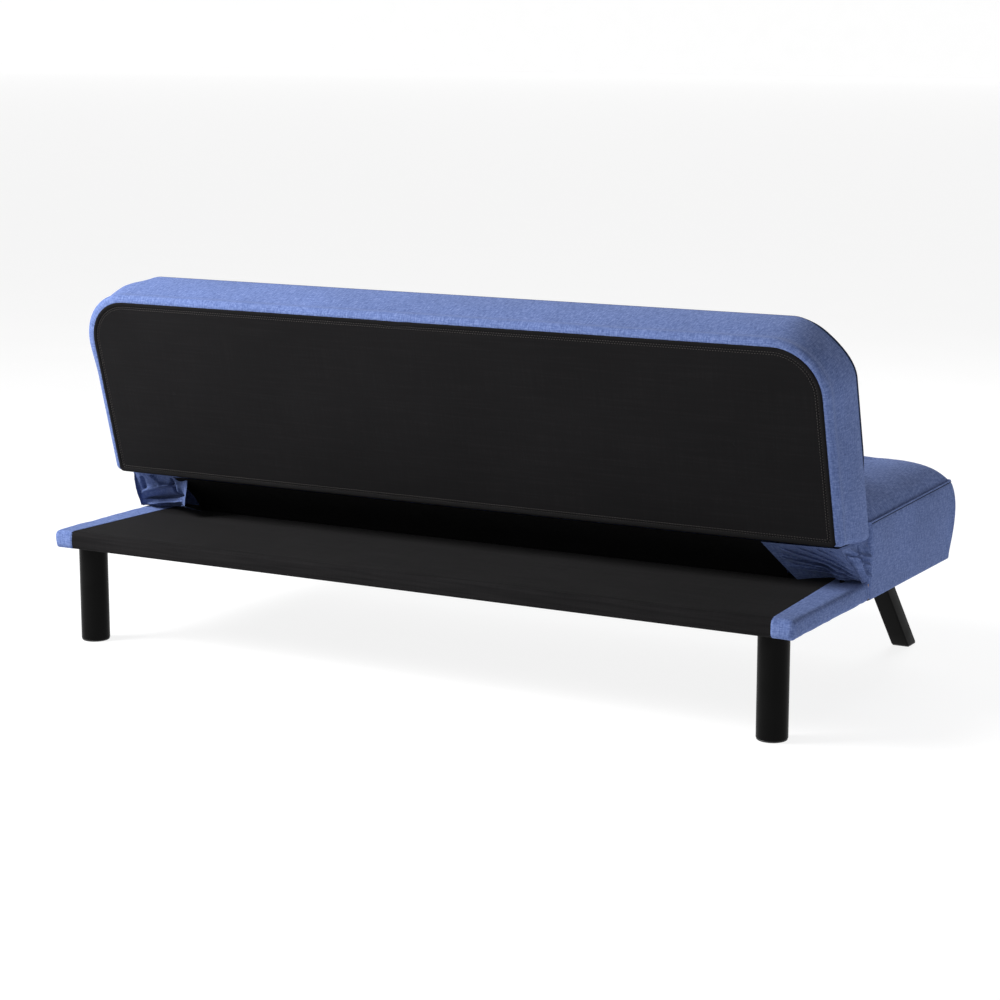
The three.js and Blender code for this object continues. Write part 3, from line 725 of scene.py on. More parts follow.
def seat_band():
    # the loop starts at the middle of the rear side and turns by +x, the front, and -x
    rows = [  # (millimetres below the seam, drawn out from the seam, is it in the seam's lip)
        (4.5, -4.6), (1.5, -3.0), (-0.6, -2.0), (-2.3, -1.2), (-2.9, -0.3), (-2.3, 0.6), (-0.6, 0.95), (0.8, 0.7), (1.8, 0.35), (3.0, 0.5),
        (5.0, 0.95), (8, 1.0), (12, 1.0), (18, 1.0), (25, 1.0), (34, 1.0), (46, 1.0), (60, 1.0), (75, 1.0), (90, 1.0), (105, 1.0), (120, 1.0), (134, 1.0), (145, 1.0), (152, 1.0), (157, 1.0), (160.5, 1.0), (162.5, 1.0), (164, 1.0), (165, 1.0), (165.4, 1.0), (165.5, 1.0),
    ]
    front = [(0, 0), (5, 4.4), (10, 7.6), (20, 12.4), (34, 17.0), (50, 19.8), (66, 20.6), (84, 19.6), (105, 16.2), (125, 11.4), (145, 4.6), (156, -1.0), (161, -3.0), (163.4, -5.0), (164.6, -8.0), (165.2, -12), (165.5, -30)]
    side = [(0, 0), (5, 1.8), (10, 3.2), (20, 5.0), (34, 6.4), (50, 7.2), (84, 6.4), (105, 5.0), (145, 2.6), (156, 1.6), (161, 1.2), (163.4, 0.4), (164.6, -1.4), (165.2, -5.0), (165.5, -18)]
    rear = [(0, 0), (5, 0.5), (20, 1.0), (60, 1.2), (110, 0.8), (124, 0.2), (165.5, 0)]
    pts, nor = loop(SEAM_OUT, 0, SEAT_REAR - SEAT_FRONT, 12, 7, SEAT_COUNTS)
    pts = pts * [1, -1] + [0, SEAT_REAR]  # v = 0 is the rear edge
    nor = nor * [1, -1]
    s = along(np.vstack([pts, pts[:1]]))
    rings, v = [], []
    wf, ws, wr = np.clip(-nor[:, 1], 0, 1) ** 2, nor[:, 0] ** 2, np.clip(nor[:, 1], 0, 1) ** 2
    for down, lip in rows:
        top = seam_z(pts[:, 1])
        full = top - 201.0
        d = down if down < 12 else 12 + (down - 12) * (full - 12) / (165.5 - 12)
        if down > 2.5:
            share = np.clip((down - 2.5) / 2.5, 0, 1)
            side_now = soft_interp(down, side) * (0.6 + 0.4 * smooth((330 - pts[:, 1]) / 220) if down < 150 else 1.0)
            out = (wf * soft_interp(down, front) + ws * side_now + wr * soft_interp(down, rear)) * share + lip * (1 - share)
        else:
            out = np.full(len(pts), float(lip))
        live = smooth(down / 30) * smooth((165 - down) / 14)
        out = out + live * 0.9 * wobble(s[:-1], down + 0 * s[:-1], 210, 5)
        # the cloth is drawn a little tighter just under the seam near the front corners
        out = out - live * 1.2 * np.exp(-((pts[:, 1] - 18) / 14) ** 2) * ws
        z = top - d
        # only down to the deck behind the seat
        z = np.where((wr > 0.5) & (z < 240.5), 240.5, z)
        xy = pts + nor * out[:, None]
        rings.append(np.stack([xy[:, 0], xy[:, 1], z], -1))
        v.append(down)
    rings = np.array(rings)
    obj = ring_piece("seat_band", W(rings), s[None, :], np.array(v)[:, None], BLUE, flip=False)
    return obj, W(rings), nor


top = seat_top()
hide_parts("seat_cover", "seat_foam")
band, band_rings, band_nor = seat_band()
for o in (top, band):
    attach(o, "base")

# a very dark navy cord in the crease under the seam's lip stands in for the lip's shadow line, as painted shadow;
# top-stitching under the seam's lip, all round except behind the back
ring = band_rings[8]
n3 = np.concatenate([band_nor, np.zeros((len(band_nor), 1))], 1)
a, b = SEAT_COUNTS[0] + SEAT_COUNTS[1] - 2, len(ring) - (SEAT_COUNTS[0] + SEAT_COUNTS[1] - 2)
seam_shadow_line = ring[a:b] + n3[a:b] * 0.0004 + np.array([0, 0, 0.0002])
seam_shadow_line = tube("seat_seam_shadow_cord", np.concatenate([seam_shadow_line]), 0.95 * MM, NAVY, 8, False)
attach(seam_shadow_line, "base")
seat_stitch = stitches("seat_stitching", band_rings[11][a:b], n3[a:b], THREAD_BLUE, 6.2, 4.4, 0.42, 0.15)
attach(seat_stitch, "base")


def bars(name, spots, along_dir, up, length, r, material):
    """Short bars of thread lying across the tucks; spots are their middles in metres."""
    pts, faces = [], []
    along_dir, up = np.array(along_dir, float), np.array(up, float)
    third = np.cross(along_dir, up)
    for c in spots:
        base = len(pts)
        steps = np.linspace(-1, 1, 9)
        for t in steps:
            k = math.sqrt(max(0.02, 1 - t**4))
            sagged = np.array(c) + along_dir * t * length / 2 + up * (0.35 * t * t) * MM * 2
            for q in range(8):
                a = 2 * math.pi * q / 8
                pts.append(sagged + (third * math.cos(a) + up * math.sin(a)) * r * k)
        for a in range(8):
            for q in range(8):
                n = (q + 1) % 8
                faces.append((base + a * 8 + q, base + a * 8 + n, base + (a + 1) * 8 + n, base + (a + 1) * 8 + q))
        faces.append(tuple(base + q for q in range(8))[::-1])
        faces.append(tuple(base + 64 + q for q in range(8)))
    return make(name, np.array(pts), faces, material)


def nearest(obj, points, axes):
    """The mesh's vertex nearest to each point, measured along two of the axes."""
    co = np.empty(len(obj.data.vertices) * 3)
    obj.data.vertices.foreach_get("co", co)
    co = co.reshape(-1, 3)
    return [co[np.argmin(np.hypot(co[:, axes[0]] - q[axes[0]], co[:, axes[1]] - q[axes[1]]))] for q in points]


seat_spots = nearest(top, [W(np.array([x, y, 400.0])) for x in TUFT_X for y in TUFT_SEAT_Y], (0, 1))
seat_bars = bars("seat_tuft_thread", [q + np.array([0, 0, 0.0006]) for q in seat_spots], (1, 0, 0), (0, 0, 1), 0.011, 0.0009, NAVY)
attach(seat_bars, "base")


def deck_cloth():
    r = 10
    prof = [(446, 239.6)]
    prof += [(y, 240.0) for y in (452, 470, 500, 540, 580, 620, 660, 700, 735, 760, 778, 788, 794)]
    prof += [(798 + r * math.sin(t), 230 + r * math.cos(t)) for t in np.linspace(0.12, math.pi / 2, 9)]
    prof += [(808.2, 224), (808.6, 217), (808.3, 211), (807.5, 206.5), (806, 204), (803, 202.7), (797, 202.3), (790, 202.2), (782, 202.3)]
    prof = np.array(prof)
    s = along(prof)
    xs = np.linspace(-795.6, 795.6, 160)
    X, S = np.meshgrid(xs, s)
    Y = np.broadcast_to(prof[:, :1], X.shape).copy()
    Z = np.broadcast_to(prof[:, 1:], X.shape).copy()
    # the cloth is stretched by hand: faint lengthwise slack on top, soft unevenness along the rear edge
    topside = smooth((795 - Y) / 40) * smooth((Y - 450) / 30)
    Z += topside * (-0.35 + 0.35 * wobble(X * 0.35, S, 130, 21)) - 0.1
    face = smooth((S - s[14]) / 12) * smooth((s[-9] - S) / 8)
    Y += face * 0.9 * wobble(X * 0.5, S * 1.5, 120, 22)
    Z = np.where(Z > 236, np.maximum(Z, 238.6), Z)
    pts = W(np.stack([X, Y, Z], -1))
    return make("deck_cloth", pts, quads(*X.shape), DECK, cloth_coords(pts, X, S))


deck = deck_cloth()
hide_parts("deck_cover")
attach(deck, "base")


def end_strip(side):
    """The padded wrap over the deck's end: an inner hem, a soft crowned top, a rounded outer edge, and the mitred rear corner."""
    # cross-section, (distance in from the outer face, z, how far the row is part of the top)
    sec = [(46.0, 238.3), (46.6, 239.3), (46.0, 240.0), (44.6, 240.2), (42, 240.3), (38, 240.3), (32, 240.3), (24, 240.3), (16, 240.3), (10.4, 240.0), (6.6, 239.0), (3.9, 237.2), (2.0, 235.2), (0.8, 231.4), (0.2, 226), (-0.2, 220), (0.0, 213), (0.8, 208.6), (2.4, 205.4), (5.0, 203.3), (9, 202.2), (16, 201.8), (28, 202.0), (36, 202.4)]
    sec = np.array(sec)
    sv = along(sec)
    y_straight = np.concatenate([[428, 432, 436, 440, 443], np.linspace(445.5, 470, 19), np.linspace(476, 780, 52), [785, 790, 794, 797]])
    OUT = 840.4

    def widen(y):
        """The strip is wider beside the seat than at the rear corner."""
        return 22.0 * (797 - y) / 352

    def tucked(y):
        """Its first few centimetres run in under the seat cover's rear corner."""
        return 4.0 * float(smooth((449 - y) / 9))

    rings = []
    su = []
    for y in y_straight:
        rings.append([(OUT - i - max(0.0, i - 20) / 26 * widen(y) - tucked(y) * (i < 12), y, z) for i, z in sec])
        su.append(y - 446)
    # rear corner: the section turns about a vertical line near the inner edge, then runs on along the rear face
    rc = 11.5
    cy = 799.0
    for k, t in enumerate(np.linspace(0, math.pi / 2, 11)[1:]):
        row = []
        for i, z in sec:
            d = rc - i  # distance from the turning line, outwards
            if d >= 0:
                x = OUT - rc + d * math.cos(t)
                y = cy + d * math.sin(t)
            else:
                x = OUT - i
                y = cy - 0.0 * d
            row.append((x, y, z))
        rings.append(row)
        su.append(797 - 446 + rc * t)
    last = rings[-1]
    # along the rear face the same section turns to face the rear, and its edge is tucked in beside the deck cloth
    for x_in in (2, 5, 9, 14, 19, 24, 28, 31, 32.8, 34.0, 34.6):
        row = []
        for i, z in sec:
            d = max(rc - i, 0.0)
            tuck_in = max(0.0, x_in - 31.5) * 0.6
            row.append((min(OUT - rc - x_in, OUT - i) if i > rc else OUT - rc - x_in, cy + d - (tuck_in if d > 0 else 0), z))
        rings.append(row)
        su.append(797 - 446 + rc * 1.57 + x_in)
    R = np.array(rings)
    U = np.array(su)[:, None] + 0 * sv[None]
    V = sv[None] + 0 * U
    live = smooth((V - 6) / 14) * smooth((sv[-1] - 14 - V) / 20)
    puff = 0.9 * wobble(U, V, 95, 31 + int(side > 0)) * live * smooth(U / 30)
    # gathers where the cloth folds round the rear outer corner
    # the seam where the strip's cover starts beside the seat
    puff -= 2.4 * np.exp(-(((U - 11) / 2.0) ** 2)) * smooth((V - 34) / 10) - 0.8 * np.exp(-(((U - 19) / 5.0) ** 2)) * smooth((V - 34) / 10)
    corner = np.exp(-(((U - 360) / 13) ** 2)) * live
    puff += corner * (0.8 * np.cos((V - 55) / 4.6) + 0.2)
    # one diagonal tuck just ahead of the corner, on the outer face
    tuck = np.exp(-(((U - 340 + (V - 58) * 0.55) / 3.0) ** 2)) * smooth((V - 46) / 8) * smooth((84 - V) / 10)
    puff -= 1.9 * tuck
    centre_x, centre_z = 815.0, 222.0
    nx, nz = R[..., 0] - centre_x, (R[..., 2] - centre_z) * 1.3
    ny = np.where(R[..., 1] > 790, (R[..., 1] - 790) * 1.4, 0)
    ln = np.sqrt(nx**2 + ny**2 + nz**2) + 1e-6
    R = R + np.stack([nx / ln, ny / ln, nz / ln], -1) * puff[..., None]
    R[..., 2] = np.minimum(R[..., 2], 240.4)
    R[..., 2] = np.where((R[..., 2] > 234) & (V > 20) & (V < 60), np.maximum(R[..., 2], 0), R[..., 2])
    R[..., 0] *= side
    pts = W(R)
    return make(f"end_strip_cloth_{'left' if side > 0 else 'right'}", pts, quads(R.shape[0], R.shape[1], flip=side < 0), BLUE, cloth_coords(pts, U, V))


for end, side in (("left", 1), ("right", -1)):
    strip = end_strip(side)
    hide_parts(f"end_strip_{end}")
    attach(strip, "base")

# ------------------------------------------------------------------ backrest

BACK_COUNTS = (84, 8, 40, 22, 150)
FRONT_Y = -45.0


def lean_x(a):
    """The cover sits a few millimetres towards its left end higher up."""
    return 4.5 * np.clip(a, 0, 426) / 426


def bottom_a(y):
    return -46 + (y + 120) / 3


def back_ring(y, out_side, out_bottom, xh=840.0, top=426.0, corner=112.0):
    pts, nor = loop(xh, bottom_a(y), top, 14, corner, BACK_COUNTS)
    w = np.clip(-nor[:, 1], 0, 1) ** 2
    out = out_side * (1 - w) + out_bottom * w
    # the right upper corner is drawn in towards the front seam, the left one stands full
    up = np.clip(nor[:, 1], 0, 1) * np.abs(nor[:, 0]) * 2
    draw = smooth((52 - y) / 95)
    full = np.exp(-(((y - 12) / 46) ** 2))
    out = out + up**1.5 * np.where(nor[:, 0] < 0, -10.0 * draw, 9.0 * full - 12.0 * smooth((5 - y) / 45))
    out = out + np.clip(nor[:, 0], 0, 1) ** 0.7 * smooth((pts[:, 1] - 240) / 80) * 5.0 * smooth((y - 15) / 35) * smooth((88.5 - y) / 3)
    # the left side stands out a little further than the right one
    out = out + np.clip(nor[:, 0], 0, 1) ** 2 * 3.0 * smooth((pts[:, 1] - 40) / 160) * smooth((88 - abs(y - 0)) / 20)
    pts = pts + np.stack([lean_x(pts[:, 1]), 0 * pts[:, 1]], -1)
    return pts, nor, out


def back_band():
    rows = [  # (y, drawn out at the sides and top, drawn out at the bottom)
        (-41.0, -5.0, -4.0), (-43.5, -3.0, -3.0), (-45.0, -1.2, -1.5), (-45.2, 0.2, -0.5), (-44.0, 1.0, 0.2), (-41.5, 1.4, 0.6), (-38, 1.7, 1.0), (-33, 2.1, 1.4), (-26, 2.6, 1.6), (-17, 2.9, 1.6),
        (-7, 2.9, 1.4), (4, 2.5, 1.0), (15, 1.8, 0.8), (25, 0.8, 0.5), (34, -0.4, 0.4), (42, -1.6, 0.2), (49, -2.6, 0), (55, -2.7, 0), (61, -1.4, 0), (66.5, 0.6, 0), (71, 2.2, -0.2), (75, 2.9, -0.6),
        (78.5, 2.6, -1.2), (81.5, 1.3, -2.0), (84.3, -0.8, -2.8), (86.6, -3.6, -3.4), (87.8, -6.9, -3.8), (88.1, -10.0, -4.2), (87.6, -12.2, -5.0), (86.6, -14.5, -6.0), (84.9, -17.5, -8.0),
    ]
    rings, v, run = [], [], 0.0
    base = None
    prev = None
    for y, o, ob in rows:
        pts, nor, out = back_ring(y, o, ob)
        if base is None:
            ref, _, _ = back_ring(0, 0, 0)
            base = along(np.vstack([ref, ref[:1]]))
        live = smooth((y + 44) / 22) * smooth((84 - y) / 16)
        s = base[:-1]
        out = out + live * 0.9 * wobble(s, y + 0 * s, 240, 41) + live * 0.35 * wobble(s, y * 1.0 + 0 * s, 70, 42)
        xa = pts + nor * out[:, None]
        rings.append(np.stack([xa[:, 0], np.full(len(xa), y), xa[:, 1]], -1))
        if prev is not None:
            run += math.hypot(y - prev[0], o - prev[1])
        prev = (y, o)
        v.append(run)
    rings = np.array(rings)
    obj = ring_piece("back_band", B(rings), base[None, :], np.array(v)[:, None], BLUE, flip=True)
    return obj, rings


def back_front():
    xh, a0, a1 = 837.0, bottom_a(-45) + 3, 423.0
    xs = fine_near(refined(-xh, xh, 11), TUFT_X)
    vs = fine_near(refined(a0, a1, 11), TUFT_BACK_A)
    X, V, h = crown_top(xs, vs, xh, a0, a1, 15, 26)
    # less crown low down, where the back meets the seat
    h = h * (0.45 + 0.55 * smooth((V - a0) / 110))
    pits = tufts(X, V, TUFT_X, TUFT_BACK_A, 7.0, 17)
    edge = np.minimum(np.minimum(xh - np.abs(X), V - a0), a1 - V)
    h = h + 0.8 * wobble(X, V, 240, 51) * smooth(edge / 60)
    gx, gv = round_corner(X, V, xh, a0, 12, -1)
    gx, gv = round_corner(gx, gv, xh, a1, 109, 1)
    y = FRONT_Y + 2.2 - h + pits
    # the right upper corner is drawn in with the seam
    cx, cv = xh - 109, a1 - 109
    ang = np.arctan2(np.maximum(gv - cv, 0), np.maximum(-gx - cx, 1e-6))
    reach = np.clip(np.hypot(np.maximum(-gx - cx, 0), np.maximum(gv - cv, 0)) / 109, 0, 1)
    pull = 10.0 * np.where((gx < -cx) & (gv > cv), np.clip(np.sin(2 * ang), 0, 1) ** 1.5, 0) * reach**2
    gx, gv = gx + pull * np.cos(ang), gv - pull * np.sin(ang)
    ang = np.arctan2(np.maximum(gv - cv, 0), np.maximum(gx - cx, 1e-6))
    reach = np.clip(np.hypot(np.maximum(gx - cx, 0), np.maximum(gv - cv, 0)) / 109, 0, 1)
    pull = 12.0 * np.where((gx > cx) & (gv > cv), np.clip(np.sin(2 * ang), 0, 1) ** 1.5, 0) * reach**2
    gx, gv = gx - pull * np.cos(ang), gv - pull * np.sin(ang)
    gx = gx + lean_x(gv)
    obj = make("back_front", B(np.stack([gx, y, gv], -1)), quads(*X.shape), BLUE, cloth_coords(gx[..., None] * [1, 1, 1], X, V))
    pin = np.where(edge < 2.0, 1.0, np.where(edge < 8, 0.6, 0.0))
    for x in TUFT_X:
        for v in TUFT_BACK_A:
            pin = np.maximum(pin, np.where(np.hypot(X - x, V - v) < 5, 1.0, 0))
    settle(obj, pin.reshape(-1), 3.0, 0.003)
    return obj


front = back_front()
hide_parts("back_cover", "back_foam")
bband, bb_rings = back_band()
for o in (front, bband):
    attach(o, "back")

# dark edging along the front seam
pts, nor, edge_out = back_ring(-45.6, 0, 0)
proud = edge_out - 1.4 + 2.4 * smooth((-nor[:, 0] - 0.15) / 0.4) * smooth((pts[:, 1] - 100) / 70)
edge_path = np.stack([pts[:, 0] + nor[:, 0] * proud, np.full(len(pts), -45.6), pts[:, 1] + nor[:, 1] * proud], -1)
shown = pts[:, 1] > 92
first = int(np.nonzero(shown & ~np.roll(shown, 1))[0][0])
edge_path = np.roll(edge_path, -first, axis=0)[: int(shown.sum())]
thin = smooth((edge_path[:, 2] - 92) / 70)
edging = tube("back_edging", B(edge_path), (0.7 + 1.4 * thin) * MM, NAVY, 10, False)
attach(edging, "back")


def back_panel():
    xh, a0, a1, r = 829.0, 24.0, 416.0, 95.0
    insets = [0, 0.4, 1.0, 2.0, 3.6, 5.6, 7.4, 8.6, 9.4, 10.2, 11.2, 12.4, 13.6, 14.6, 15.6, 17.2, 20, 25, 33, 44, 58, 74, 92, 110, 128, 146, 164, 180, 190]
    lift = [(0, -2.2), (0.4, -0.4), (1.0, 0.6), (2.0, 1.3), (3.6, 1.7), (5.6, 1.6), (7.4, 1.0), (8.6, 0.2), (9.4, -0.5), (10.2, -0.6), (11.2, 0.3), (12.4, 0.8), (13.6, 0.6), (14.6, -0.1), (15.6, 0.0), (17.2, 0.15), (20, 0.2), (400, 0.2)]
    n0, c0, ns, c1, n1 = 100, 6, 44, 20, 200
    rings, X, V, D = [], [], [], []
    for d in insets:
        rr = max(r - d, 4.0 + d * 0.02)
        r0 = max(9.0 - d * 0.3, 4.0)
        pts, nor = loop(xh - d, a0 + d, a1 - d, r0, rr, (n0, c0, ns, c1, n1))
        # the corner arcs shrink; keep their height share so that the points stay evenly spread
        rings.append(pts)
    P = np.array(rings)
    n = P.shape[1]
    x, a = P[..., 0], P[..., 1]
    flat_x = x.copy()
    x = x + lean_x(a)
    D = np.array(insets)[:, None] + 0 * x
    y = 88.5 + 0.8 * interp(D, lift)
    hem = np.exp(-(((D - 6) / 9) ** 2))
    inner = smooth((D - 16) / 40)
    y = y + 0.55 * inner * wobble(x * 0.5, a, 170, 61) + 0.25 * hem * wobble(x, a, 34, 62)
    # the hem twists a little on the upper edge
    tw = np.exp(-(((x - 70) / 46) ** 2)) * smooth((a - 380) / 16)
    y = y + tw * 0.9 * np.sin((x - 70) / 7.5 + D * 0.28)
    a2 = a - tw * 1.3 * np.exp(-(((D - 8) / 7) ** 2)) * (1 + np.sin((x - 60) / 11))
    y = np.minimum(y, 89.9)
    R = np.stack([x, y, a2], -1)
    ringsB = B(R)
    closed = np.concatenate([ringsB, ringsB[:, :1]], 1)
    cx = np.concatenate([x, x[:, :1]], 1)
    ca = np.concatenate([a, a[:, :1]], 1)
    faces = quads(len(insets), n + 1, flip=True)
    # the middle: join the last ring's lower side to its upper side
    last = (len(insets) - 1) * (n + 1)
    cc = np.zeros(closed.shape, np.float32)
    cc[..., 0] = cx * MM
    cc[..., 1] = ca * MM
    mesh_pts = closed.reshape(-1, 3)
    # two chains of the last ring, lower and upper, both running from left to right
    lx = flat_x[-1]
    right, left = int(np.argmax(lx)), int(np.argmin(lx))
    lower = [last + (left + k) % n for k in range((right - left) % n + 1)]
    upper = [last + (left - k) % n for k in range((left - right) % n + 1)]
    i, j = 0, 0
    while i < len(lower) - 1 or j < len(upper) - 1:
        ahead = i < len(lower) - 1 and (j == len(upper) - 1 or lx[(lower[i + 1] - last) % n] <= lx[(upper[j + 1] - last) % n])
        if ahead:
            tri = (lower[i], lower[i + 1], upper[j])
            i += 1
        else:
            tri = (lower[i], upper[j + 1], upper[j])
            j += 1
        if len(set(tri)) == 3:
            faces.append(tri[::-1])
    obj = make("back_panel_cloth", mesh_pts, faces, PANEL, cc.reshape(-1, 3))
    return obj, R, insets


panel, panel_rings, panel_insets = back_panel()
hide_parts("back_panel")
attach(panel, "back")
rear_dir = np.array([0, COS, -SIN])
for k, d in enumerate((10.2, 14.6)):
    ring = panel_rings[panel_insets.index(d)]
    path = B(np.vstack([ring, ring[:1]]))
    st = stitches(f"panel_stitching_{k + 1}", path, np.tile(rear_dir, (len(path), 1)), THREAD_BLACK, 5.6, 3.9, 0.42, 0.3)
    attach(st, "back")

# ------------------------------------------------------------------ cloth between the base and the back


def ridge(U, V, a, b, width, height, bow=0.0):
    """A fold along the line from a to b in the sheet's own (u, v), thinning to both ends, steeper on one flank."""
    a, b = np.array(a, float), np.array(b, float)
    d = b - a
    ln = np.hypot(*d)
    t = ((U - a[0]) * d[0] + (V - a[1]) * d[1]) / ln**2
    off = ((U - a[0]) * -d[1] + (V - a[1]) * d[0]) / ln - bow * np.sin(math.pi * np.clip(t, 0, 1))
    w = width * (0.45 + 0.75 * np.sin(math.pi * np.clip(t, 0.02, 0.98)))
    body = np.where(off > 0, np.exp(-((off / (w * 0.4)) ** 2)), np.exp(-((off / (w * 1.15)) ** 2)))
    return height * body * smooth(t / 0.18) * smooth((1 - t) / 0.18)


def gusset(side):
    """The gathered end gusset: a slack sloping sheet from the back's bottom edge down to the deck behind the seat, folds drawn to its outer lower corner."""
    nu, nv = 96, 80
    U, V = np.meshgrid(np.linspace(0, 1, nu), np.linspace(0, 1, nv))  # u 0 outer, 1 inner edge; v 0 along the back, 1 on the deck
    if side < 0:
        A, Bc, C, D = np.array([677, 590, 329.0]), np.array([837, 589, 330.5]), np.array([838, 466, 242.6]), np.array([712, 494, 241.4])
        dip, belly, bend, hang = 36.0, 9.0, 2.0, 0.0
        folds = [
            ((0.86, 0.10), (0.02, 0.93), 0.075, 11.0, 0.05),
            ((0.98, 0.34), (0.04, 0.98), 0.060, 10.0, 0.03),
            ((0.99, 0.62), (0.10, 1.00), 0.050, 7.5, 0.0),
            ((0.62, 0.03), (0.02, 0.80), 0.060, 8.0, 0.05),
            ((0.36, 0.02), (0.02, 0.62), 0.055, 7.0, 0.03),
            ((0.93, 0.22), (0.42, 0.62), 0.035, -6.0, 0.0),
            ((0.95, 0.50), (0.40, 0.80), 0.030, -6.0, 0.0),
            ((0.16, 0.05), (0.03, 0.40), 0.050, 5.0, 0.0),
            ((0.70, 0.30), (0.55, 0.66), 0.035, 3.5, 0.02),
        ]
    else:
        A, Bc, C, D = np.array([661, 580, 331.0]), np.array([838, 537, 322.0]), np.array([838, 512, 243.0]), np.array([681, 498.6, 241.4])
        dip, belly, bend, hang = 24.0, 6.0, 0.0, 50.0
        folds = [
            ((0.02, 0.80), (0.98, 0.42), 0.080, -12.0, 0.04),
            ((0.05, 0.95), (0.90, 0.62), 0.060, 9.0, 0.03),
            ((0.02, 0.62), (0.80, 0.22), 0.070, 9.0, -0.03),
            ((0.68, 0.02), (0.74, 0.62), 0.050, -8.0, 0.03),
            ((0.80, 0.03), (0.86, 0.45), 0.040, 6.0, 0.0),
            ((0.30, 0.02), (0.55, 0.36), 0.055, 7.0, 0.02),
            ((0.12, 0.05), (0.10, 0.50), 0.050, -5.0, 0.0),
            ((0.95, 0.70), (0.55, 0.98), 0.040, 5.0, 0.0),
        ]
    P = (Bc * (1 - U[..., None]) + A * U[..., None]) * (1 - V[..., None]) + (C * (1 - U[..., None]) + D * U[..., None]) * V[..., None]
    sag = np.sin(math.pi * V) ** 0.8
    P[..., 1] -= belly * sag * np.sin(math.pi * np.clip(U, 0, 1) * 0.9 + 0.15) + bend * sag * U**3
    P[..., 1] -= dip * np.sin(math.pi * np.clip(U, 0, 1)) * smooth(V)
    # where the inner edge hangs straight down from the back before it turns forwards onto the deck
    P[..., 1] += hang * np.interp(V, [0, 0.2, 0.35, 0.55, 0.7, 0.78, 0.86, 0.94, 1], [0, 0.26, 0.5, 0.82, 1.0, 0.9, 0.58, 0.2, 0]) * U**1.6
    P[..., 2] -= 3 * sag
    seed = 71 + (side > 0)
    fold = 2.3 * sum(ridge(U, V, a, b, w * 0.72, h, bow) for a, b, w, h, bow in folds)
    live = smooth(V / 0.07) * smooth((1.0 - V) / 0.05) * smooth((1.0 - U) / 0.05)
    fold = fold * live + 1.3 * wobble(U * 150, V * 120, 40, seed) * live
    P[..., 1] += fold * 0.9
    P[..., 2] += fold * 0.25 * (1 - V)
    hem = np.exp(-(((U - 0.975) / 0.018) ** 2))
    P[..., 1] += hem * 1.4
    # the cloth runs round the hinge plate's foot, which stands behind it
    u_arm = (838 - 794.5) / (838 - D[0])
    P[..., 1] += (24.0 if side < 0 else 8.0) * np.exp(-(((U - u_arm) / 0.085) ** 2)) * smooth((V - 0.5) / 0.35)
    P[..., 2] = np.maximum(P[..., 2], 241.2)
    # the height just under the back's bottom face, which rises towards the front; not used further
    over = PIVOT[1] - 8
    P[..., 0] *= side
    pts = W(P)
    return make(f"gusset_cloth_{'left' if side > 0 else 'right'}", pts, quads(nv, nu, flip=side > 0), BLUE_GUSSET_PAINTED_SHADE, cloth_coords(pts, U * 158, V * 165))


def gusset_wall(side):
    """The bunched side wall between the seat's rear corner, the strip and the back's lower corner."""
    nu, nv = 60, 70
    U, V = np.meshgrid(np.linspace(0, 1, nu), np.linspace(0, 1, nv))  # u 0 at the front, 1 at the rear; v 0 top, 1 bottom
    if side < 0:
        tf, tr, bf, br = np.array([448, 326.0]), np.array([589, 331.0]), np.array([444, 238.0]), np.array([467, 242.0])
        folds = [
            ((0.10, 0.05), (0.30, 0.98), 0.085, 7.0, 0.05),
            ((0.35, 0.03), (0.42, 0.99), 0.070, -7.0, 0.04),
            ((0.62, 0.06), (0.60, 0.98), 0.085, 8.0, -0.05),
            ((0.88, 0.04), (0.80, 0.97), 0.060, -5.0, 0.0),
            ((0.05, 0.40), (0.62, 0.22), 0.070, 7.0, 0.05),
            ((0.10, 0.62), (0.80, 0.46), 0.060, 6.0, -0.04),
            ((0.55, 0.34), (0.96, 0.16), 0.050, -5.0, 0.0),
            ((0.05, 0.86), (0.60, 0.70), 0.055, 5.0, 0.03),
        ]
    else:
        tf, tr, bf, br = np.array([448, 326.0]), np.array([538, 322.0]), np.array([444, 238.0]), np.array([512, 242.5])
        folds = [
            ((0.12, 0.04), (0.25, 0.97), 0.080, 6.0, 0.05),
            ((0.45, 0.04), (0.50, 0.97), 0.075, -6.0, -0.04),
            ((0.75, 0.04), (0.72, 0.97), 0.080, 7.0, 0.04),
            ((0.05, 0.45), (0.95, 0.30), 0.060, 6.0, 0.03),
            ((0.10, 0.72), (0.95, 0.64), 0.055, -5.0, -0.03),
        ]
    Y = (tf[0] * (1 - U) + tr[0] * U) * (1 - V) + (bf[0] * (1 - U) + br[0] * U) * V
    Z = (tf[1] * (1 - U) + tr[1] * U) * (1 - V) + (bf[1] * (1 - U) + br[1] * U) * V
    seed = 81 + (side > 0)
    fold = 1.9 * sum(ridge(U, V, a, b, w * 0.8, h, bow) for a, b, w, h, bow in folds) + 1.2 * wobble(U * 90, V * 100, 30, seed + 3)
    edge = smooth(U / 0.07) * smooth((1 - V) / 0.07) * smooth(V / 0.06)
    X = 835.0 + fold * 0.8 * edge - 2.0 * (1 - edge)
    X = np.clip(X, 825.0, 850.0)
    if side > 0:
        # the loose rear edge stands out to the rear in a soft belly
        Y = Y + 8.0 * np.sin(math.pi * V) * U**2
    Y = Y + 2.0 * wobble(U * 80, V * 90, 40, seed + 5) * edge * (1 - U)
    P = np.stack([X * side, Y, Z], -1)
    pts = W(P)
    return make(f"gusset_wall_{'left' if side > 0 else 'right'}", pts, quads(nv, nu, flip=side < 0), BLUE_WALL_PAINTED_SHADE, cloth_coords(pts, U * 120, V * 110))


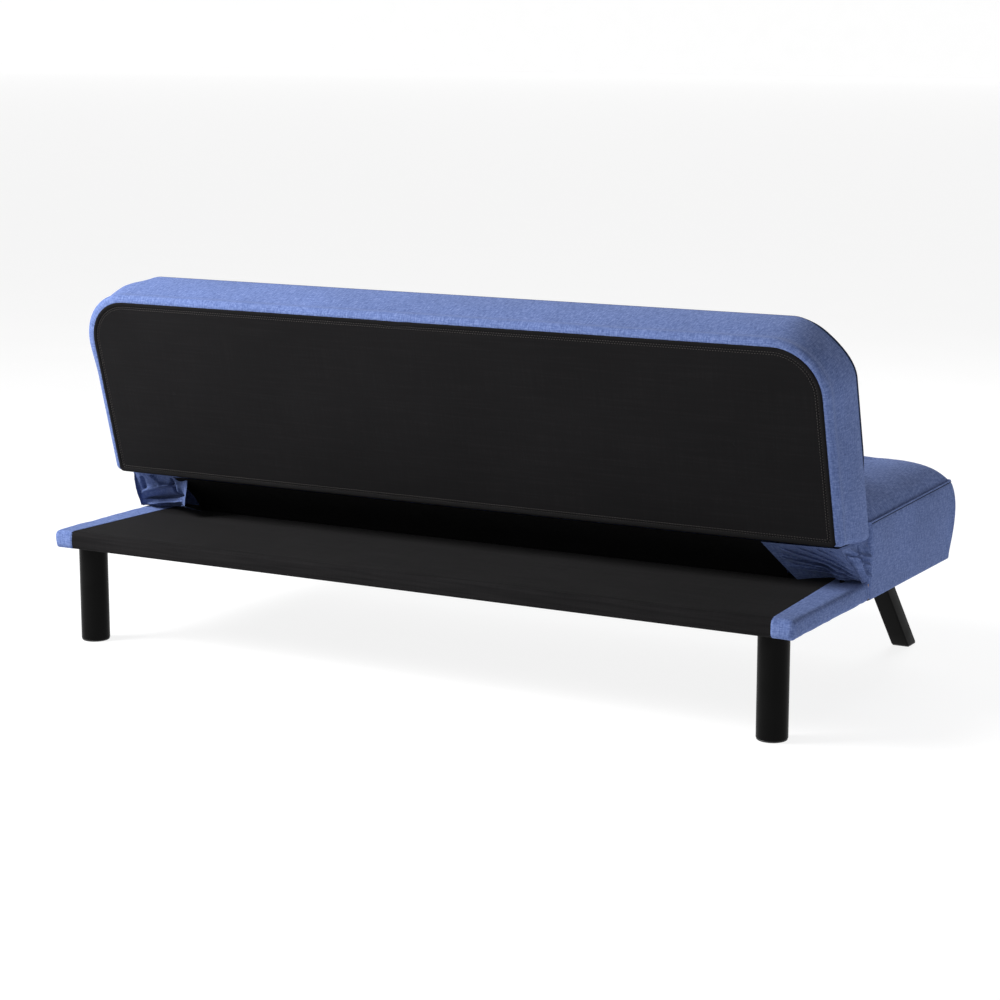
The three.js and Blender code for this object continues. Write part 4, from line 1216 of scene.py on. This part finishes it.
def lining():
    nu, nv = 170, 26
    U, V = np.meshgrid(np.linspace(-692, 692, nu), np.linspace(0, 1, nv))  # v 0 along the back, 1 on the deck
    Y = 590.5 * (1 - V) + 486 * V
    Z = 331.0 * (1 - V) + 241.0 * V
    sag = np.sin(math.pi * V)
    Y -= 16 * sag
    Z -= 3 * sag
    Y += sag * 3.0 * wobble(U, V * 60, 120, 91)
    Z = np.maximum(Z, 240.9)
    pts = W(np.stack([U, Y, Z], -1))
    # its very dark colour is painted shade of the gap
    return make("gap_lining_cloth", pts, quads(nv, nu), LINING_PAINTED_SHADE, cloth_coords(pts, U, V * 130))


for end, side in (("left", 1), ("right", -1)):
    g = gusset(side)
    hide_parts(f"gusset_{end}")
    w = gusset_wall(side)
    for o, flat in ((g, (0.19, 0.19)), (w, (0.12, 0.10))):
        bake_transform(o)
lin_obj = lining()
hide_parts("gap_lining")
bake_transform(lin_obj)

# ------------------------------------------------------------------ legs


def lathe(name, profile, cx, cy, material, sides=72):
    ang = np.linspace(0, 2 * math.pi, sides, endpoint=False)
    prof = np.asarray(profile, float)
    pts = np.stack([
        cx + prof[:, :1] * np.cos(ang)[None],
        cy + prof[:, :1] * np.sin(ang)[None],
        prof[:, 1:] + 0 * ang[None],
    ], -1)
    rows = len(prof)
    faces = quads(rows, sides, closed=True)
    faces.append(tuple(range(sides))[::-1])
    faces.append(tuple((rows - 1) * sides + i for i in range(sides)))
    return make(name, W(pts), faces, material)


def arc_pts(cx, cz, r, t0, t1, n):
    return [(cx + r * math.cos(math.radians(t)), cz + r * math.sin(math.radians(t))) for t in np.linspace(t0, t1, n)]


for end, side in (("left", 1), ("right", -1)):
    leg = lathe(
        f"rear_leg_tube_{end}",
        [(27.6, 5.0), (28.2, 3.9)] + arc_pts(28.6, 5.2, 1.4, -70, 0, 5) + [(30, 8), (30, 60), (30, 120), (30, 170), (30, 196)] + arc_pts(28.6, 201.2, 1.4, 0, 90, 5) + [(26, 202.6)],
        side * 779, 757, STEEL,
    )
    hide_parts(f"rear_leg_{end}")
    foot = lathe(f"rear_foot_cap_{end}", [(26.5, 0), (27.6, 0.25), (28.6, 1.0), (29.0, 2.2), (28.8, 3.5), (27.4, 3.9), (26.5, 3.9)], side * 779, 757, PLASTIC)
    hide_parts(f"rear_foot_{end}")
    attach(leg, "base")
    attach(foot, "base")


def slanted(name, z0, z1, x0, x1, inset, radius, material):
    """A rounded rectangular tube leaning forwards, cut level at both ends."""
    n = 6
    corners = []
    w, d = (x1 - x0) / 2 - inset, 45 / 2 - inset
    for cx, cy, t0 in ((w - radius, d - radius, 0), (-w + radius, d - radius, 90), (-w + radius, -d + radius, 180), (w - radius, -d + radius, 270)):
        for t in np.linspace(t0, t0 + 90, n):
            corners.append((cx + radius * math.cos(math.radians(t)), cy + radius * math.sin(math.radians(t))))
    corners = np.array(corners)
    rows = []
    zs = [(z0, 0.96), (z0 + 0.35, 0.99), (z0 + 1.0, 1.0)] + [(z, 1.0) for z in np.linspace(z0 + 1.0, z1 - 0.5, 8)[1:]] + [(z1, 1.0)]
    for z, k in zs:
        cy = -67 + 0.918 * z + 22.5
        rows.append(np.stack([(x0 + x1) / 2 + corners[:, 0] * k, cy + corners[:, 1] * k, np.full(len(corners), z)], -1))
    R = np.array(rows)
    m = len(corners)
    faces = quads(len(rows), m, closed=True)
    faces.append(tuple(range(m))[::-1])
    faces.append(tuple((len(rows) - 1) * m + i for i in range(m)))
    obj = make(name, W(R), faces, material)
    return obj


for end, side in (("left", 1), ("right", -1)):
    x0, x1 = (714, 752) if side > 0 else (-752, -714)
    leg = slanted(f"front_leg_tube_{end}", 3.0, 202.6, x0, x1, 0, 3.2, STEEL_FRONT)
    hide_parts(f"front_leg_{end}")
    foot = slanted(f"front_foot_cap_{end}", 0.0, 3.0, x0, x1, 0.8, 3.0, PLASTIC)
    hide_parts(f"front_foot_{end}")
    # the level plate at the top, which the bolts pass through
    px0, px1 = (701, 766) if side > 0 else (-766, -701)
    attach(leg, "base")
    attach(foot, "base")
    cx, cy = (px0 + px1) / 2, 140
    rr, hw, hd = 8.0, 32.5, 54.0
    outline = []
    for ox, oy, t0 in ((hw - rr, hd - rr, 0), (-hw + rr, hd - rr, 90), (-hw + rr, -hd + rr, 180), (hw - rr, -hd + rr, 270)):
        for t in np.linspace(t0, t0 + 90, 7):
            outline.append((cx + ox + rr * math.cos(math.radians(t)), cy + oy + rr * math.sin(math.radians(t))))
    outline = np.array(outline)
    rows = []
    for z, k in ((199.4, 0.985), (199.7, 1.0), (202.4, 1.0), (202.8, 0.99)):
        rows.append(np.stack([cx + (outline[:, 0] - cx) * k, cy + (outline[:, 1] - cy) * k, np.full(len(outline), z)], -1))
    m = len(outline)
    faces = quads(len(rows), m, closed=True) + [tuple(range(m))[::-1], tuple((len(rows) - 1) * m + i for i in range(m))]
    plate = make(f"front_leg_plate_{end}", W(np.array(rows)), faces, STEEL)
    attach(plate, "base")

# ------------------------------------------------------------------ floor and light

floor_mat = Mat("floor")
fsrc = floor_mat.place("object")
fn = floor_mat.noise(floor_mat.scaled(fsrc, (3, 3, 3)), 1.0, 3)
floor_mat.link(floor_mat.ramp(fn, [(0.3, grey(0.2)), (0.7, grey(0.22))]), floor_mat.p.inputs["Base Color"])
floor_mat.set(Roughness=0.85, Specular_IOR_Level=0.1, Emission_Strength=0.86, Emission_Color=(1, 1, 1, 1))
fpts = [(sx * 45, sy * 45, z) for z in (-0.0005, 12.0) for sx, sy in ((-1, -1), (1, -1), (1, 1), (-1, 1))]
walls = [(k, 4 + k, 4 + (k + 1) % 4, (k + 1) % 4) for k in range(4)]  # the same pale surface turns up far away, as in a studio cove
floor = make("floor", fpts, [(0, 1, 2, 3)] + walls, floor_mat.m, smooth_shade=False)

world = bpy.data.worlds.new("studio")
scene.world = world
world.use_nodes = True
wn = world.node_tree.nodes
wn["Background"].inputs[0].default_value = (1, 1, 1, 1)
wn["Background"].inputs[1].default_value = 0.12


def area(name, place, target, size, power, color=(1, 1, 1)):
    data = bpy.data.lights.new(name, "AREA")
    data.shape = "RECTANGLE"
    data.size, data.size_y = size
    data.energy = power
    data.color = color
    o = bpy.data.objects.new(name, data)
    scene.collection.objects.link(o)
    o.location = place
    o.rotation_mode = "QUATERNION"
    o.rotation_quaternion = (Vector(target) - Vector(place)).to_track_quat("-Z", "Y")
    return o


area("key", (2.7, 2.1, 2.8), (0.4, 0.1, 0.5), (1.8, 1.8), 272)
area("front", (-0.3, -3.3, 3.0), (0.0, -0.1, 0.4), (2.4, 2.4), 62)
